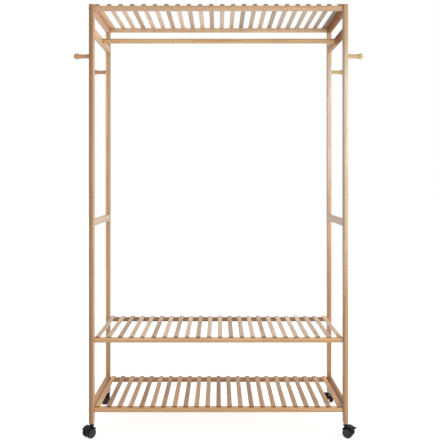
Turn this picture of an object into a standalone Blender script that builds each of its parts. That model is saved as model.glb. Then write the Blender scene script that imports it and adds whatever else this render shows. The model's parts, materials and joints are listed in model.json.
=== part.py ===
"""A bamboo clothes rack on casters, built piece by piece.

The rack stands on the plane z = 0, with its origin at the middle of its footprint. X runs along
the hanging rod, the front looks towards -Y and Z points up. Every length is in metres.
"""

import math

import bmesh
import bpy
from mathutils import Matrix, Vector

# Frame
RACK_WIDTH = 1.000
RACK_DEPTH = 0.385
POST_FOOT_Z = 0.052
POST_TOP_Z = 1.6715
POST_WIDTH = 0.018
POST_DEPTH = 0.028
EDGE_ROUND = 0.0015
SEAT_GAP = 0.0003
CUT_OVERRUN = 0.002

# Side rails, which join a front post to a rear post
SIDE_RAIL_HEIGHT = 0.027
TENON_LENGTH = 0.008
TENON_THICKNESS = 0.008
TENON_HEIGHT = 0.017
ROD_RAIL_DROP = 0.101
MIDDLE_RAIL_Z = 0.8265
BOTTOM_RAIL_Z = 0.112

# Hanging rod
ROD_DIAMETER = 0.020
ROD_SCREW_DIAMETER = 0.005
ROD_SCREW_HEAD_DIAMETER = 0.010
ROD_SCREW_HEAD_HEIGHT = 0.0028
ROD_SCREW_REACH = 0.022

# Slatted shelves: the heights are those of the slats' undersides, the drops are from the post tops
TOP_SHELF_DROP = 0.005
MIDDLE_SHELF_Z = 0.3825
BOTTOM_SHELF_Z = 0.114
SHELF_RAIL_HEIGHT = 0.018
SHELF_RAIL_DEPTH = 0.018
SLAT_COUNT = 23
SLAT_WIDTH = 0.018
SLAT_THICKNESS = 0.006
SLAT_ROUND = 0.0024
SLAT_ROUND_SHARE = 0.5
SLAT_SIDE_GAP = 0.005
SLAT_END_INSET = 0.001
SLAT_BITE = 0.0004

# Uneven spacing: a deck's middle slat sits to the right by a quarter of this share of the row
SLAT_DRIFT_SHARES = {"top": 0.060, "middle": 0.025, "bottom": 0.0}

# Connector bolts, through the posts into the ends of the shelf rails
BOLT_DIAMETER = 0.006
BOLT_HEAD_DIAMETER = 0.012
BOLT_HEAD_HEIGHT = 0.0032
BOLT_REACH = 0.026
BOLT_CLEARANCE = 0.0003
SOCKET_SHARE = 0.42
SOCKET_DEPTH_SHARE = 0.6
HEAD_TOP_SHARE = 0.62
HEAD_RIM_SHARE = 0.35

# Turned coat pegs
PEG_DROP = 0.200
PEG_LENGTH = 0.061
PEG_KNOB_DIAMETER = 0.0235
PEG_KNOB_START_DEGREES = 90
PEG_KNOB_END_DEGREES = -40
PEG_NECK_DIAMETER = 0.0165
PEG_COLLAR_DIAMETER = 0.0195
PEG_COLLAR_HEIGHT = 0.0026
PEG_SPIGOT_DIAMETER = 0.008
PEG_SPIGOT_LENGTH = 0.011
PEG_NECK_SHARES = ((0.52, 1.06), (0.36, 1.00), (0.18, 1.02), (0.08, 1.08))

# Casters: each turns about its stem, and its wheels trail behind the stem
WHEEL_DIAMETER = 0.039
WHEEL_WIDTH = 0.0125
WHEEL_SPACING = 0.0255
WHEEL_SHOULDER = 0.0032
WHEEL_INNER_CHAMFER = 0.0012
WHEEL_RECESS_RADIUS = 0.0139
WHEEL_RECESS_DEPTH = 0.0014
WHEEL_HUB_RADIUS = 0.0062
WHEEL_BORE_DEPTH = 0.0092
WHEEL_TRAIL = 0.013
AXLE_DIAMETER = 0.005
AXLE_CLEARANCE = 0.0002
STEM_DIAMETER = 0.008
STEM_NECK_DIAMETER = 0.011
STEM_THREAD_LENGTH = 0.020
STEM_JOURNAL_LENGTH = 0.0205
HOOD_TOP_Z = 0.0472
HOOD_WIDTH = 0.035
HOOD_THICKNESS = 0.0032
HOOD_WHEEL_GAP = 0.0015
HOOD_ROUND = 0.0013
HOOD_WEB_WIDTH = 0.0112
HOOD_WEB_BITE = 0.0017
HOOD_BOSS_DIAMETER = 0.016
HOOD_AXLE_BOSS_RADIUS = 0.007
HOOD_REAR_DEGREES = 28
HOOD_FRONT_DEGREES = 150
WEB_NOSE_DEGREES = 168
WEB_FOOT_START_DEGREES = 225
WEB_FOOT_END_DEGREES = 315
CASTER_HEADING_DEGREES = {"front_left": 140, "front_right": -122, "rear_left": 95, "rear_right": 8}
BRAKED_CASTERS = ("front_right", "rear_left")

# Brake pedal, which pivots in two knuckles at the back of a hood
PEDAL_PIVOT_DEGREES = 38
PEDAL_PIVOT_OFFSET = 0.005
PEDAL_REST_DEGREES = 30
PEDAL_TRAVEL_DEGREES = 20
PEDAL_WIDTH = 0.018
PEDAL_LENGTH = 0.013
PEDAL_THICKNESS = 0.0026
PEDAL_BARREL_RADIUS = 0.0030
PEDAL_LOBE_REACH = 0.0043
PEDAL_LOBE_SPREAD_DEGREES = 20
PEDAL_SIDE_GAP = 0.0003
KNUCKLE_RADIUS = 0.0036
TRUNNION_DIAMETER = 0.003
TRUNNION_LENGTH = 0.0040
BRAKE_SLOT_MARGIN = 0.0012
BRAKE_SLOT_CLIMB_DEGREES = 11
BRAKE_SLOT_FALL_DEGREES = 17

# Facets
ROD_SIDES = 28
PEG_SIDES = 14
PEG_ARC_STEPS = 5
WHEEL_SIDES = 18
WHEEL_SHOULDER_STEPS = 2
BORE_SIDES = 8
BOSS_SIDES = 16
SOCKET_SIDES = 6
HOOD_ARC_STEPS = 7
WEB_FOOT_STEPS = 3
SLOT_ARC_STEPS = 2
BARREL_TOP_STEPS = 6
BARREL_FOOT_STEPS = 4
EDGE_STEPS = 2
RAIL_EDGE_STEPS = 1
SLAT_EDGE_STEPS = 1
MERGE_DISTANCE = 0.00001
SMOOTH_DEGREES = 40
FLAT_DEGREES = 1

SIDES = {"left": -1, "right": 1}
ENDS = {"front": -1, "rear": 1}
POST_X = (RACK_WIDTH - POST_WIDTH) / 2
POST_Y = (RACK_DEPTH - POST_DEPTH) / 2
INNER_X = POST_X - POST_WIDTH / 2
INNER_Y = POST_Y - POST_DEPTH / 2
SHELF_SPAN = 2 * (INNER_X - SEAT_GAP)
ROD_RAIL_Z = POST_TOP_Z - ROD_RAIL_DROP
PEG_Z = POST_TOP_Z - PEG_DROP
SHELVES = {"top": POST_TOP_Z - TOP_SHELF_DROP, "middle": MIDDLE_SHELF_Z, "bottom": BOTTOM_SHELF_Z}
SIDE_RAILS = {
    "top": POST_TOP_Z - SIDE_RAIL_HEIGHT / 2,
    "rod": ROD_RAIL_Z,
    "middle": MIDDLE_RAIL_Z,
    "bottom": BOTTOM_RAIL_Z,
}
WHEEL_RADIUS = WHEEL_DIAMETER / 2
HOOD_INNER_RADIUS = WHEEL_RADIUS + HOOD_WHEEL_GAP
HOOD_OUTER_RADIUS = HOOD_INNER_RADIUS + HOOD_THICKNESS
WEB_RADIUS = HOOD_INNER_RADIUS + HOOD_WEB_BITE
PEDAL_PIVOT_RADIUS = WHEEL_RADIUS + PEDAL_PIVOT_OFFSET

# Colours as linear red, green, blue, then roughness and metallic
FINISHES = {
    "bamboo_frame": ((0.52, 0.31, 0.15), 0.42, 0.0),
    "bamboo_rail": ((0.56, 0.34, 0.17), 0.42, 0.0),
    "bamboo_slat": ((0.60, 0.39, 0.22), 0.45, 0.0),
    "bamboo_rod": ((0.56, 0.36, 0.18), 0.38, 0.0),
    "turned_peg": ((0.58, 0.33, 0.14), 0.36, 0.0),
    "zinc_steel": ((0.50, 0.50, 0.49), 0.35, 1.0),
    "hood_plastic": ((0.022, 0.022, 0.024), 0.45, 0.0),
    "wheel_plastic": ((0.030, 0.030, 0.032), 0.40, 0.0),
    "pedal_plastic": ((0.026, 0.026, 0.028), 0.50, 0.0),
}


def clear_scene():
    """Remove whatever the file holds before the rack is built."""
    for item in list(bpy.data.objects):
        bpy.data.objects.remove(item, do_unlink=True)


def make_collection(name, hidden=False):
    """Make a collection under the scene."""
    collection = bpy.data.collections.new(name)
    bpy.context.scene.collection.children.link(collection)
    collection.hide_render = hidden
    return collection


def make_materials():
    """Make one Principled material for each finish."""
    materials = {}
    for name, (colour, roughness, metallic) in FINISHES.items():
        material = bpy.data.materials.new(name)
        material.use_nodes = True
        shader = material.node_tree.nodes["Principled BSDF"]
        shader.inputs["Base Color"].default_value = (*colour, 1.0)
        shader.inputs["Roughness"].default_value = roughness
        shader.inputs["Metallic"].default_value = metallic
        material.diffuse_color = (*colour, 1.0)
        materials[name] = material
    return materials


def as_mesh(bm, name):
    """Turn a bmesh into a mesh with smooth round faces and sharp corners."""
    mesh = bpy.data.meshes.new(name)
    bm.to_mesh(mesh)
    bm.free()
    mesh.shade_smooth()
    mesh.set_sharp_from_angle(angle=math.radians(SMOOTH_DEGREES))
    return mesh


def add_block(bm, size, centre):
    """Add a rectangular block to a bmesh."""
    place = Matrix.Translation(centre) @ Matrix.Diagonal((*size, 1))
    bmesh.ops.create_cube(bm, size=1, matrix=place)


def add_cylinder(bm, radius, length, centre, axis, sides=BORE_SIDES):
    """Add a round bar along an axis to a bmesh."""
    turn = Vector((0, 0, 1)).rotation_difference(Vector(axis)).to_matrix().to_4x4()
    place = Matrix.Translation(centre) @ turn
    bmesh.ops.create_cone(
        bm, cap_ends=True, segments=sides, radius1=radius, radius2=radius, depth=length, matrix=place
    )


def add_bore(bm, radius, length, centre, axis):
    """Add the cutter of a round hole, with its flats at the radius."""
    add_cylinder(bm, radius / math.cos(math.pi / BORE_SIDES), length, centre, axis)


def block_mesh(name, size, centre):
    """A rectangular block as a mesh."""
    bm = bmesh.new()
    add_block(bm, size, centre)
    return as_mesh(bm, name)


def outline_mesh(name, outline, half_width):
    """A flat outline in the YZ plane, extruded to both sides along X, as a mesh."""
    curve = bpy.data.curves.new(name, "CURVE")
    curve.dimensions = "2D"
    curve.fill_mode = "BOTH"
    curve.extrude = half_width
    spline = curve.splines.new("POLY")
    spline.points.add(len(outline) - 1)
    for point, (y, z) in zip(spline.points, outline):
        point.co = (y, z, 0, 1)
    spline.use_cyclic_u = True
    guide = bpy.data.objects.new(name, curve)
    bpy.context.scene.collection.objects.link(guide)
    bpy.context.view_layer.update()
    evaluated = guide.evaluated_get(bpy.context.evaluated_depsgraph_get())
    mesh = bpy.data.meshes.new_from_object(evaluated)
    bpy.data.objects.remove(guide, do_unlink=True)
    bpy.data.curves.remove(curve)
    bm = bmesh.new()
    bm.from_mesh(mesh)
    bpy.data.meshes.remove(mesh)
    bmesh.ops.remove_doubles(bm, verts=bm.verts, dist=MERGE_DISTANCE)
    flat_limit = math.radians(FLAT_DEGREES)
    bmesh.ops.dissolve_limit(bm, angle_limit=flat_limit, verts=bm.verts, edges=bm.edges)
    swap = Matrix(((0, 0, 1, 0), (1, 0, 0, 0), (0, 1, 0, 0), (0, 0, 0, 1)))
    bm.transform(swap)
    bmesh.ops.recalc_face_normals(bm, faces=bm.faces)
    return as_mesh(bm, name)


def arc(radius, start, end, steps, centre=(0, 0)):
    """Points along an arc, from one angle in degrees to another, both ends included."""
    points = []
    for step in range(steps + 1):
        angle = math.radians(start + (end - start) * step / steps)
        points.append((centre[0] + radius * math.cos(angle), centre[1] + radius * math.sin(angle)))
    return points


def bevel(item, width, steps=EDGE_STEPS):
    """Round the sharp edges of an object."""
    modifier = item.modifiers.new("rounded_edges", "BEVEL")
    modifier.width = width
    modifier.segments = steps
    modifier.limit_method = "ANGLE"
    modifier.angle_limit = math.radians(SMOOTH_DEGREES)


def combine(item, other, operation):
    """Join another solid to an object, or cut it away."""
    modifier = item.modifiers.new(operation.lower(), "BOOLEAN")
    modifier.operation = operation
    modifier.solver = "EXACT"
    modifier.object = other


def turn_profile(item, sides):
    """Spin an object's profile round its own Z axis."""
    modifier = item.modifiers.new("turned", "SCREW")
    modifier.steps = sides
    modifier.render_steps = sides
    modifier.use_merge_vertices = True
    modifier.merge_threshold = MERGE_DISTANCE
    modifier.use_smooth_shade = True


def profile_mesh(name, profile):
    """A profile of radius and height, as a chain of edges in the XZ plane."""
    mesh = bpy.data.meshes.new(name)
    edges = [(index, index + 1) for index in range(len(profile) - 1)]
    mesh.from_pydata([(radius, 0, height) for radius, height in profile], edges, [])
    return mesh


def facing(axis):
    """The rotation that turns Z to an axis."""
    return Vector((0, 0, 1)).rotation_difference(Vector(axis)).to_euler()


class Rack:
    """The collections and materials of the rack, and the ways to add pieces to it."""

    def __init__(self):
        self.pieces = make_collection("clothes_rack")
        self.cutters = make_collection("cutters", hidden=True)
        self.materials = make_materials()

    def add(self, name, mesh, finish, parent=None):
        """Add a visible piece."""
        mesh.materials.append(self.materials[finish])
        item = bpy.data.objects.new(name, mesh)
        self.pieces.objects.link(item)
        item.parent = parent
        return item

    def add_tool(self, name, mesh, parent=None):
        """Add a hidden solid that a piece is cut or joined with."""
        item = bpy.data.objects.new(name, mesh)
        item.hide_render = True
        item.display_type = "WIRE"
        self.cutters.objects.link(item)
        item.parent = parent
        return item

    def add_empty(self, name, location, parent=None):
        """Add an empty that a group of pieces hangs on."""
        item = bpy.data.objects.new(name, None)
        self.pieces.objects.link(item)
        item.location = location
        item.parent = parent
        return item


def add_pocket(bm, face, direction, depth, centre, across):
    """Add a square pocket to a cutter, from a face inwards along Y."""
    length = depth + CUT_OVERRUN
    middle = face + direction * (depth - CUT_OVERRUN) / 2
    add_block(bm, (across[0], length, across[1]), (centre[0], middle, centre[1]))


def shelf_rail_z(shelf_z):
    """The height of a shelf rail's middle, from the slats' underside."""
    return shelf_z - SHELF_RAIL_HEIGHT / 2


def make_post(rack, side, end):
    """One post, with its mortises, bolt holes, peg hole and caster hole."""
    across = SIDES[side]
    along = ENDS[end]
    x = across * POST_X
    y = along * POST_Y
    height = POST_TOP_Z - POST_FOOT_Z
    name = f"post_{end}_{side}"
    mesh = block_mesh(name, (POST_WIDTH, POST_DEPTH, height), (0, 0, height / 2))
    post = rack.add(name, mesh, "bamboo_frame")
    post.location = (x, y, POST_FOOT_Z)
    bevel(post, EDGE_ROUND)

    bm = bmesh.new()
    mortise = (TENON_THICKNESS + 2 * SEAT_GAP, TENON_HEIGHT + 2 * SEAT_GAP)
    for rail_z in SIDE_RAILS.values():
        add_pocket(bm, along * INNER_Y, along, TENON_LENGTH + SEAT_GAP, (x, rail_z), mortise)
    through = POST_WIDTH + 2 * CUT_OVERRUN
    for shelf_z in SHELVES.values():
        hole_radius = BOLT_DIAMETER / 2 + BOLT_CLEARANCE
        add_bore(bm, hole_radius, through, (x, y, shelf_rail_z(shelf_z)), (1, 0, 0))
    peg_depth = PEG_SPIGOT_LENGTH + SEAT_GAP
    peg_x = across * (RACK_WIDTH / 2 - (peg_depth - CUT_OVERRUN) / 2)
    peg_radius = PEG_SPIGOT_DIAMETER / 2 + BOLT_CLEARANCE
    add_bore(bm, peg_radius, peg_depth + CUT_OVERRUN, (peg_x, y, PEG_Z), (1, 0, 0))
    stem_depth = STEM_THREAD_LENGTH + SEAT_GAP
    stem_z = POST_FOOT_Z + (stem_depth - CUT_OVERRUN) / 2
    stem_radius = STEM_DIAMETER / 2 + BOLT_CLEARANCE
    add_bore(bm, stem_radius, stem_depth + CUT_OVERRUN, (x, y, stem_z), (0, 0, 1))
    combine(post, rack.add_tool(f"{name}_holes", as_mesh(bm, f"{name}_holes")), "DIFFERENCE")


def make_side_rail(rack, level, side):
    """One side rail with a tenon at each end."""
    name = f"side_rail_{level}_{side}"
    centre = (SIDES[side] * POST_X, 0, SIDE_RAILS[level])
    length = 2 * (INNER_Y - SEAT_GAP)
    mesh = block_mesh(name, (POST_WIDTH, length, SIDE_RAIL_HEIGHT), (0, 0, 0))
    rail = rack.add(name, mesh, "bamboo_rail")
    rail.location = centre
    bevel(rail, EDGE_ROUND, RAIL_EDGE_STEPS)
    tenon_size = (TENON_THICKNESS, 2 * (INNER_Y + TENON_LENGTH), TENON_HEIGHT)
    tenon = rack.add_tool(f"{name}_tenons", block_mesh(f"{name}_tenons", tenon_size, centre))
    combine(rail, tenon, "UNION")
    if level == "rod":
        bm = bmesh.new()
        hole_radius = ROD_SCREW_DIAMETER / 2 + BOLT_CLEARANCE
        add_bore(bm, hole_radius, POST_WIDTH + 2 * CUT_OVERRUN, centre, (1, 0, 0))
        combine(rail, rack.add_tool(f"{name}_hole", as_mesh(bm, f"{name}_hole")), "DIFFERENCE")


def end_bores(name, radius, reach, y, z):
    """Blind bores into both ends of a bar that runs across the rack."""
    bm = bmesh.new()
    depth = reach + SEAT_GAP
    for across in SIDES.values():
        x = across * (SHELF_SPAN / 2 - (depth - CUT_OVERRUN) / 2)
        add_bore(bm, radius, depth + CUT_OVERRUN, (x, y, z), (1, 0, 0))
    return as_mesh(bm, name)


def make_rod(rack):
    """The round hanging rod, bored at its ends for its screws."""
    bm = bmesh.new()
    add_cylinder(bm, ROD_DIAMETER / 2, SHELF_SPAN, (0, 0, 0), (1, 0, 0), ROD_SIDES)
    rod = rack.add("hanging_rod", as_mesh(bm, "hanging_rod"), "bamboo_rod")
    rod.location = (0, 0, ROD_RAIL_Z)
    bore_radius = ROD_SCREW_DIAMETER / 2 + BOLT_CLEARANCE
    bores = end_bores("hanging_rod_bores", bore_radius, ROD_SCREW_REACH, 0, ROD_RAIL_Z)
    combine(rod, rack.add_tool("hanging_rod_bores", bores), "DIFFERENCE")


def make_bolt(rack, name, sizes, place, across):
    """A socket-head fastener, its head on the outer side and its shank pointing inwards."""
    diameter, head_diameter, head_height, length = sizes
    head_radius = head_diameter / 2
    profile = [
        (0, head_height),
        (head_radius * HEAD_TOP_SHARE, head_height),
        (head_radius, head_height * HEAD_RIM_SHARE),
        (head_radius, 0),
        (diameter / 2, 0),
        (diameter / 2, -length),
        (0, -length),
    ]
    bolt = rack.add(name, profile_mesh(name, profile), "zinc_steel")
    bolt.location = place
    bolt.rotation_euler = facing((across, 0, 0))
    turn_profile(bolt, BORE_SIDES)
    bm = bmesh.new()
    socket_depth = head_height * SOCKET_DEPTH_SHARE
    socket_middle = head_height - (socket_depth - CUT_OVERRUN) / 2
    socket_length = socket_depth + CUT_OVERRUN
    socket_radius = head_radius * SOCKET_SHARE
    add_cylinder(bm, socket_radius, socket_length, (0, 0, socket_middle), (0, 0, 1), SOCKET_SIDES)
    socket = rack.add_tool(f"{name}_socket", as_mesh(bm, f"{name}_socket"))
    socket.location = place
    socket.rotation_euler = facing((across, 0, 0))
    combine(bolt, socket, "DIFFERENCE")


def make_fasteners(rack):
    """The connector bolts of the shelves and the screws of the rod."""
    head_x = RACK_WIDTH / 2 + SEAT_GAP
    shelf_bolt = (BOLT_DIAMETER, BOLT_HEAD_DIAMETER, BOLT_HEAD_HEIGHT, POST_WIDTH + BOLT_REACH)
    rod_length = POST_WIDTH + ROD_SCREW_REACH
    rod_screw = (ROD_SCREW_DIAMETER, ROD_SCREW_HEAD_DIAMETER, ROD_SCREW_HEAD_HEIGHT, rod_length)
    for side, across in SIDES.items():
        for end, along in ENDS.items():
            for level, shelf_z in SHELVES.items():
                place = (across * head_x, along * POST_Y, shelf_rail_z(shelf_z))
                make_bolt(rack, f"bolt_{level}_{end}_{side}", shelf_bolt, place, across)
        make_bolt(rack, f"rod_screw_{side}", rod_screw, (across * head_x, 0, ROD_RAIL_Z), across)


def make_peg(rack, side, end):
    """One turned coat peg: a spigot in the post, a collar, a waisted neck and a round knob."""
    knob_radius = PEG_KNOB_DIAMETER / 2
    neck_radius = PEG_NECK_DIAMETER / 2
    collar_radius = PEG_COLLAR_DIAMETER / 2
    collar_top = SEAT_GAP + PEG_COLLAR_HEIGHT
    spigot_radius = PEG_SPIGOT_DIAMETER / 2
    knob_centre = (0, PEG_LENGTH - knob_radius)
    profile = arc(knob_radius, PEG_KNOB_START_DEGREES, PEG_KNOB_END_DEGREES, PEG_ARC_STEPS, knob_centre)
    profile[0] = (0, PEG_LENGTH)
    for along, thick in PEG_NECK_SHARES:
        profile.append((neck_radius * thick, PEG_LENGTH * along))
    profile.append((collar_radius, collar_top))
    profile.append((collar_radius, SEAT_GAP))
    profile.append((spigot_radius, SEAT_GAP))
    profile.append((spigot_radius, -PEG_SPIGOT_LENGTH))
    profile.append((0, -PEG_SPIGOT_LENGTH))
    name = f"peg_{end}_{side}"
    peg = rack.add(name, profile_mesh(name, profile), "turned_peg")
    peg.location = (SIDES[side] * RACK_WIDTH / 2, ENDS[end] * POST_Y, PEG_Z)
    peg.rotation_euler = facing((SIDES[side], 0, 0))
    turn_profile(peg, PEG_SIDES)


def make_shelf_rail(rack, name, finish, along, centre_z):
    """A rail across the rack, with its edges rounded."""
    mesh = block_mesh(name, (SHELF_SPAN, SHELF_RAIL_DEPTH, SHELF_RAIL_HEIGHT), (0, 0, 0))
    rail = rack.add(name, mesh, finish)
    rail.location = (0, along * POST_Y, centre_z)
    bevel(rail, EDGE_ROUND, RAIL_EDGE_STEPS)
    return rail


def bore_rail(rack, rail, along, shelf_z):
    """Bore the bolt holes into both ends of a shelf rail."""
    name = f"{rail.name}_bores"
    radius = BOLT_DIAMETER / 2 + BOLT_CLEARANCE
    bores = end_bores(name, radius, BOLT_REACH, along * POST_Y, shelf_rail_z(shelf_z))
    combine(rail, rack.add_tool(name, bores), "DIFFERENCE")


def slat_places(level):
    """The middles of a deck's slats along X."""
    outer_slat_x = INNER_X - SLAT_SIDE_GAP - SLAT_WIDTH / 2
    places = []
    for slat in range(SLAT_COUNT):
        share = slat / (SLAT_COUNT - 1)
        share += SLAT_DRIFT_SHARES[level] * share * (1 - share)
        places.append(outer_slat_x * (2 * share - 1))
    return places


def slat_mesh(name, places):
    """A row of slats, each with its two upper long edges rounded over."""
    length = 2 * (POST_Y + SHELF_RAIL_DEPTH / 2 - SLAT_END_INSET)
    bm = bmesh.new()
    for x in places:
        add_block(bm, (SLAT_WIDTH, length, SLAT_THICKNESS), (x, 0, SLAT_THICKNESS / 2))
    upper = [edge for edge in bm.edges if all(vert.co.z > 0 for vert in edge.verts)]
    long_edges = [edge for edge in upper if edge.verts[0].co.x == edge.verts[1].co.x]
    bmesh.ops.bevel(
        bm,
        geom=long_edges,
        offset=SLAT_ROUND,
        segments=SLAT_EDGE_STEPS,
        profile=SLAT_ROUND_SHARE,
        affect="EDGES",
    )
    return as_mesh(bm, name)


def make_shelf(rack, level):
    """One slatted shelf: a front rail, and a deck of slats fixed to its rear rail."""
    shelf_z = SHELVES[level]
    front_z = shelf_rail_z(shelf_z) - SEAT_GAP
    front = make_shelf_rail(rack, f"shelf_rail_{level}_front", "bamboo_rail", ENDS["front"], front_z)
    bore_rail(rack, front, ENDS["front"], shelf_z)

    name = f"slat_deck_{level}"
    rear_z = shelf_rail_z(shelf_z) + SLAT_BITE
    deck = make_shelf_rail(rack, name, "bamboo_slat", ENDS["rear"], rear_z)
    slats = rack.add_tool(f"{name}_slats", slat_mesh(f"{name}_slats", slat_places(level)))
    slats.location = (0, 0, shelf_z)
    combine(deck, slats, "UNION")
    bore_rail(rack, deck, ENDS["rear"], shelf_z)


def wheel_profile():
    """A wheel's section from its outer face to its inner face, radius and place along the axle."""
    half = WHEEL_WIDTH / 2
    facet_lift = 1 / math.cos(math.pi / WHEEL_SIDES)
    tread = WHEEL_RADIUS * facet_lift
    recess_floor = half - WHEEL_RECESS_DEPTH
    shoulder_centre = (tread - WHEEL_SHOULDER, half - WHEEL_SHOULDER)
    bore_radius = AXLE_DIAMETER / 2 + AXLE_CLEARANCE
    profile = [
        (0, half),
        (WHEEL_HUB_RADIUS - WHEEL_RECESS_DEPTH, half),
        (WHEEL_HUB_RADIUS, recess_floor),
        (WHEEL_RECESS_RADIUS, recess_floor),
        (WHEEL_RECESS_RADIUS + WHEEL_RECESS_DEPTH, half),
    ]
    profile += arc(WHEEL_SHOULDER, 90, 0, WHEEL_SHOULDER_STEPS, shoulder_centre)
    profile += [
        (tread, WHEEL_INNER_CHAMFER - half),
        (tread - WHEEL_INNER_CHAMFER, -half),
        (bore_radius, -half),
        (bore_radius, WHEEL_BORE_DEPTH - half),
        (0, WHEEL_BORE_DEPTH - half),
    ]
    return profile


def hood_outline():
    """The fender's section: an arched band over the wheels."""
    centre = (WHEEL_TRAIL, WHEEL_RADIUS)
    outer = arc(HOOD_OUTER_RADIUS, HOOD_REAR_DEGREES, HOOD_FRONT_DEGREES, HOOD_ARC_STEPS, centre)
    inner = arc(HOOD_INNER_RADIUS, HOOD_FRONT_DEGREES, HOOD_REAR_DEGREES, HOOD_ARC_STEPS, centre)
    return outer + inner


def web_outline():
    """The web between the wheels, from the fender down round the axle."""
    centre = (WHEEL_TRAIL, WHEEL_RADIUS)
    upper = arc(WEB_RADIUS, HOOD_REAR_DEGREES, WEB_NOSE_DEGREES, HOOD_ARC_STEPS, centre)
    foot = (WEB_FOOT_START_DEGREES, WEB_FOOT_END_DEGREES)
    lower = arc(HOOD_AXLE_BOSS_RADIUS, *foot, WEB_FOOT_STEPS, centre)
    return upper + lower


def pedal_pivot():
    """The place of a pedal's pivot in the caster's own YZ plane."""
    angle = math.radians(PEDAL_PIVOT_DEGREES)
    y = WHEEL_TRAIL + PEDAL_PIVOT_RADIUS * math.cos(angle)
    z = WHEEL_RADIUS + PEDAL_PIVOT_RADIUS * math.sin(angle)
    return y, z


def make_hood(rack, place, base, braked):
    """A caster's hood: fender, web and stem boss in one moulding, with its bores."""
    name = f"caster_hood_{place}"
    hood = rack.add(name, outline_mesh(name, hood_outline(), HOOD_WIDTH / 2), "hood_plastic", base)
    bevel(hood, HOOD_ROUND)
    web = outline_mesh(f"{name}_web", web_outline(), HOOD_WEB_WIDTH / 2)
    combine(hood, rack.add_tool(f"{name}_web", web, base), "UNION")

    bm = bmesh.new()
    boss_radius = HOOD_BOSS_DIAMETER / 2
    near_axle = WHEEL_TRAIL - boss_radius
    boss_foot = WHEEL_RADIUS + math.sqrt(HOOD_INNER_RADIUS ** 2 - near_axle ** 2) + SEAT_GAP
    boss_middle = (HOOD_TOP_Z + boss_foot) / 2
    boss_height = HOOD_TOP_Z - boss_foot
    add_cylinder(bm, boss_radius, boss_height, (0, 0, boss_middle), (0, 0, 1), BOSS_SIDES)
    combine(hood, rack.add_tool(f"{name}_boss", as_mesh(bm, f"{name}_boss"), base), "UNION")
    if braked:
        add_brake_seat(rack, hood, name, base)

    bm = bmesh.new()
    journal_depth = STEM_JOURNAL_LENGTH + SEAT_GAP
    journal_z = HOOD_TOP_Z - (journal_depth - CUT_OVERRUN) / 2
    journal_radius = STEM_DIAMETER / 2 + BOLT_CLEARANCE
    add_bore(bm, journal_radius, journal_depth + CUT_OVERRUN, (0, 0, journal_z), (0, 0, 1))
    axle_radius = AXLE_DIAMETER / 2 + AXLE_CLEARANCE
    axle_length = HOOD_WEB_WIDTH + 2 * CUT_OVERRUN
    add_bore(bm, axle_radius, axle_length, (0, WHEEL_TRAIL, WHEEL_RADIUS), (1, 0, 0))
    combine(hood, rack.add_tool(f"{name}_bores", as_mesh(bm, f"{name}_bores"), base), "DIFFERENCE")


def add_brake_seat(rack, hood, name, base):
    """Give a hood the knuckles, slot and pivot holes of a brake pedal."""
    pivot_y, pivot_z = pedal_pivot()
    bm = bmesh.new()
    knuckle_width = HOOD_WIDTH - 2 * HOOD_ROUND
    add_cylinder(bm, KNUCKLE_RADIUS, knuckle_width, (0, pivot_y, pivot_z), (1, 0, 0), BOSS_SIDES)
    combine(hood, rack.add_tool(f"{name}_knuckles", as_mesh(bm, f"{name}_knuckles"), base), "UNION")

    centre = (WHEEL_TRAIL, WHEEL_RADIUS)
    slot_floor = PEDAL_PIVOT_RADIUS - PEDAL_LOBE_REACH - BRAKE_SLOT_MARGIN
    slot_roof = PEDAL_PIVOT_RADIUS + KNUCKLE_RADIUS + BRAKE_SLOT_MARGIN
    low = PEDAL_PIVOT_DEGREES - BRAKE_SLOT_FALL_DEGREES
    high = PEDAL_PIVOT_DEGREES + BRAKE_SLOT_CLIMB_DEGREES
    slot = arc(slot_roof, low, high, SLOT_ARC_STEPS, centre)
    slot += arc(slot_floor, high, low, SLOT_ARC_STEPS, centre)
    slot_mesh = outline_mesh(f"{name}_slot", slot, PEDAL_WIDTH / 2 + PEDAL_SIDE_GAP)
    combine(hood, rack.add_tool(f"{name}_slot", slot_mesh, base), "DIFFERENCE")

    bm = bmesh.new()
    hole_length = PEDAL_WIDTH + 2 * (TRUNNION_LENGTH + SEAT_GAP)
    hole_radius = TRUNNION_DIAMETER / 2 + AXLE_CLEARANCE
    add_bore(bm, hole_radius, hole_length, (0, pivot_y, pivot_z), (1, 0, 0))
    combine(hood, rack.add_tool(f"{name}_pivot", as_mesh(bm, f"{name}_pivot"), base), "DIFFERENCE")


def pedal_outline():
    """A pedal's section round its pivot: barrel, brake lobe and tread plate."""
    rest = math.radians(PEDAL_REST_DEGREES)
    plate_half = PEDAL_THICKNESS / 2
    tip_round = plate_half / 2
    root = math.sqrt(PEDAL_BARREL_RADIUS ** 2 - plate_half ** 2)
    root_degrees = math.degrees(math.atan2(plate_half, root))
    lobe = 180 + PEDAL_PIVOT_DEGREES + PEDAL_TRAVEL_DEGREES - PEDAL_REST_DEGREES
    lobe_angle = math.radians(lobe)
    section = [
        (PEDAL_LENGTH - tip_round, -plate_half),
        (PEDAL_LENGTH, -plate_half + tip_round),
        (PEDAL_LENGTH, plate_half - tip_round),
        (PEDAL_LENGTH - tip_round, plate_half),
    ]
    lobe_top = lobe - PEDAL_LOBE_SPREAD_DEGREES
    lobe_foot = lobe + PEDAL_LOBE_SPREAD_DEGREES
    section += arc(PEDAL_BARREL_RADIUS, root_degrees, lobe_top, BARREL_TOP_STEPS)
    section.append((PEDAL_LOBE_REACH * math.cos(lobe_angle), PEDAL_LOBE_REACH * math.sin(lobe_angle)))
    section += arc(PEDAL_BARREL_RADIUS, lobe_foot, 360 - root_degrees, BARREL_FOOT_STEPS)
    turned = []
    for out, up in section:
        y = out * math.cos(rest) - up * math.sin(rest)
        z = out * math.sin(rest) + up * math.cos(rest)
        turned.append((y, z))
    return turned


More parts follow.
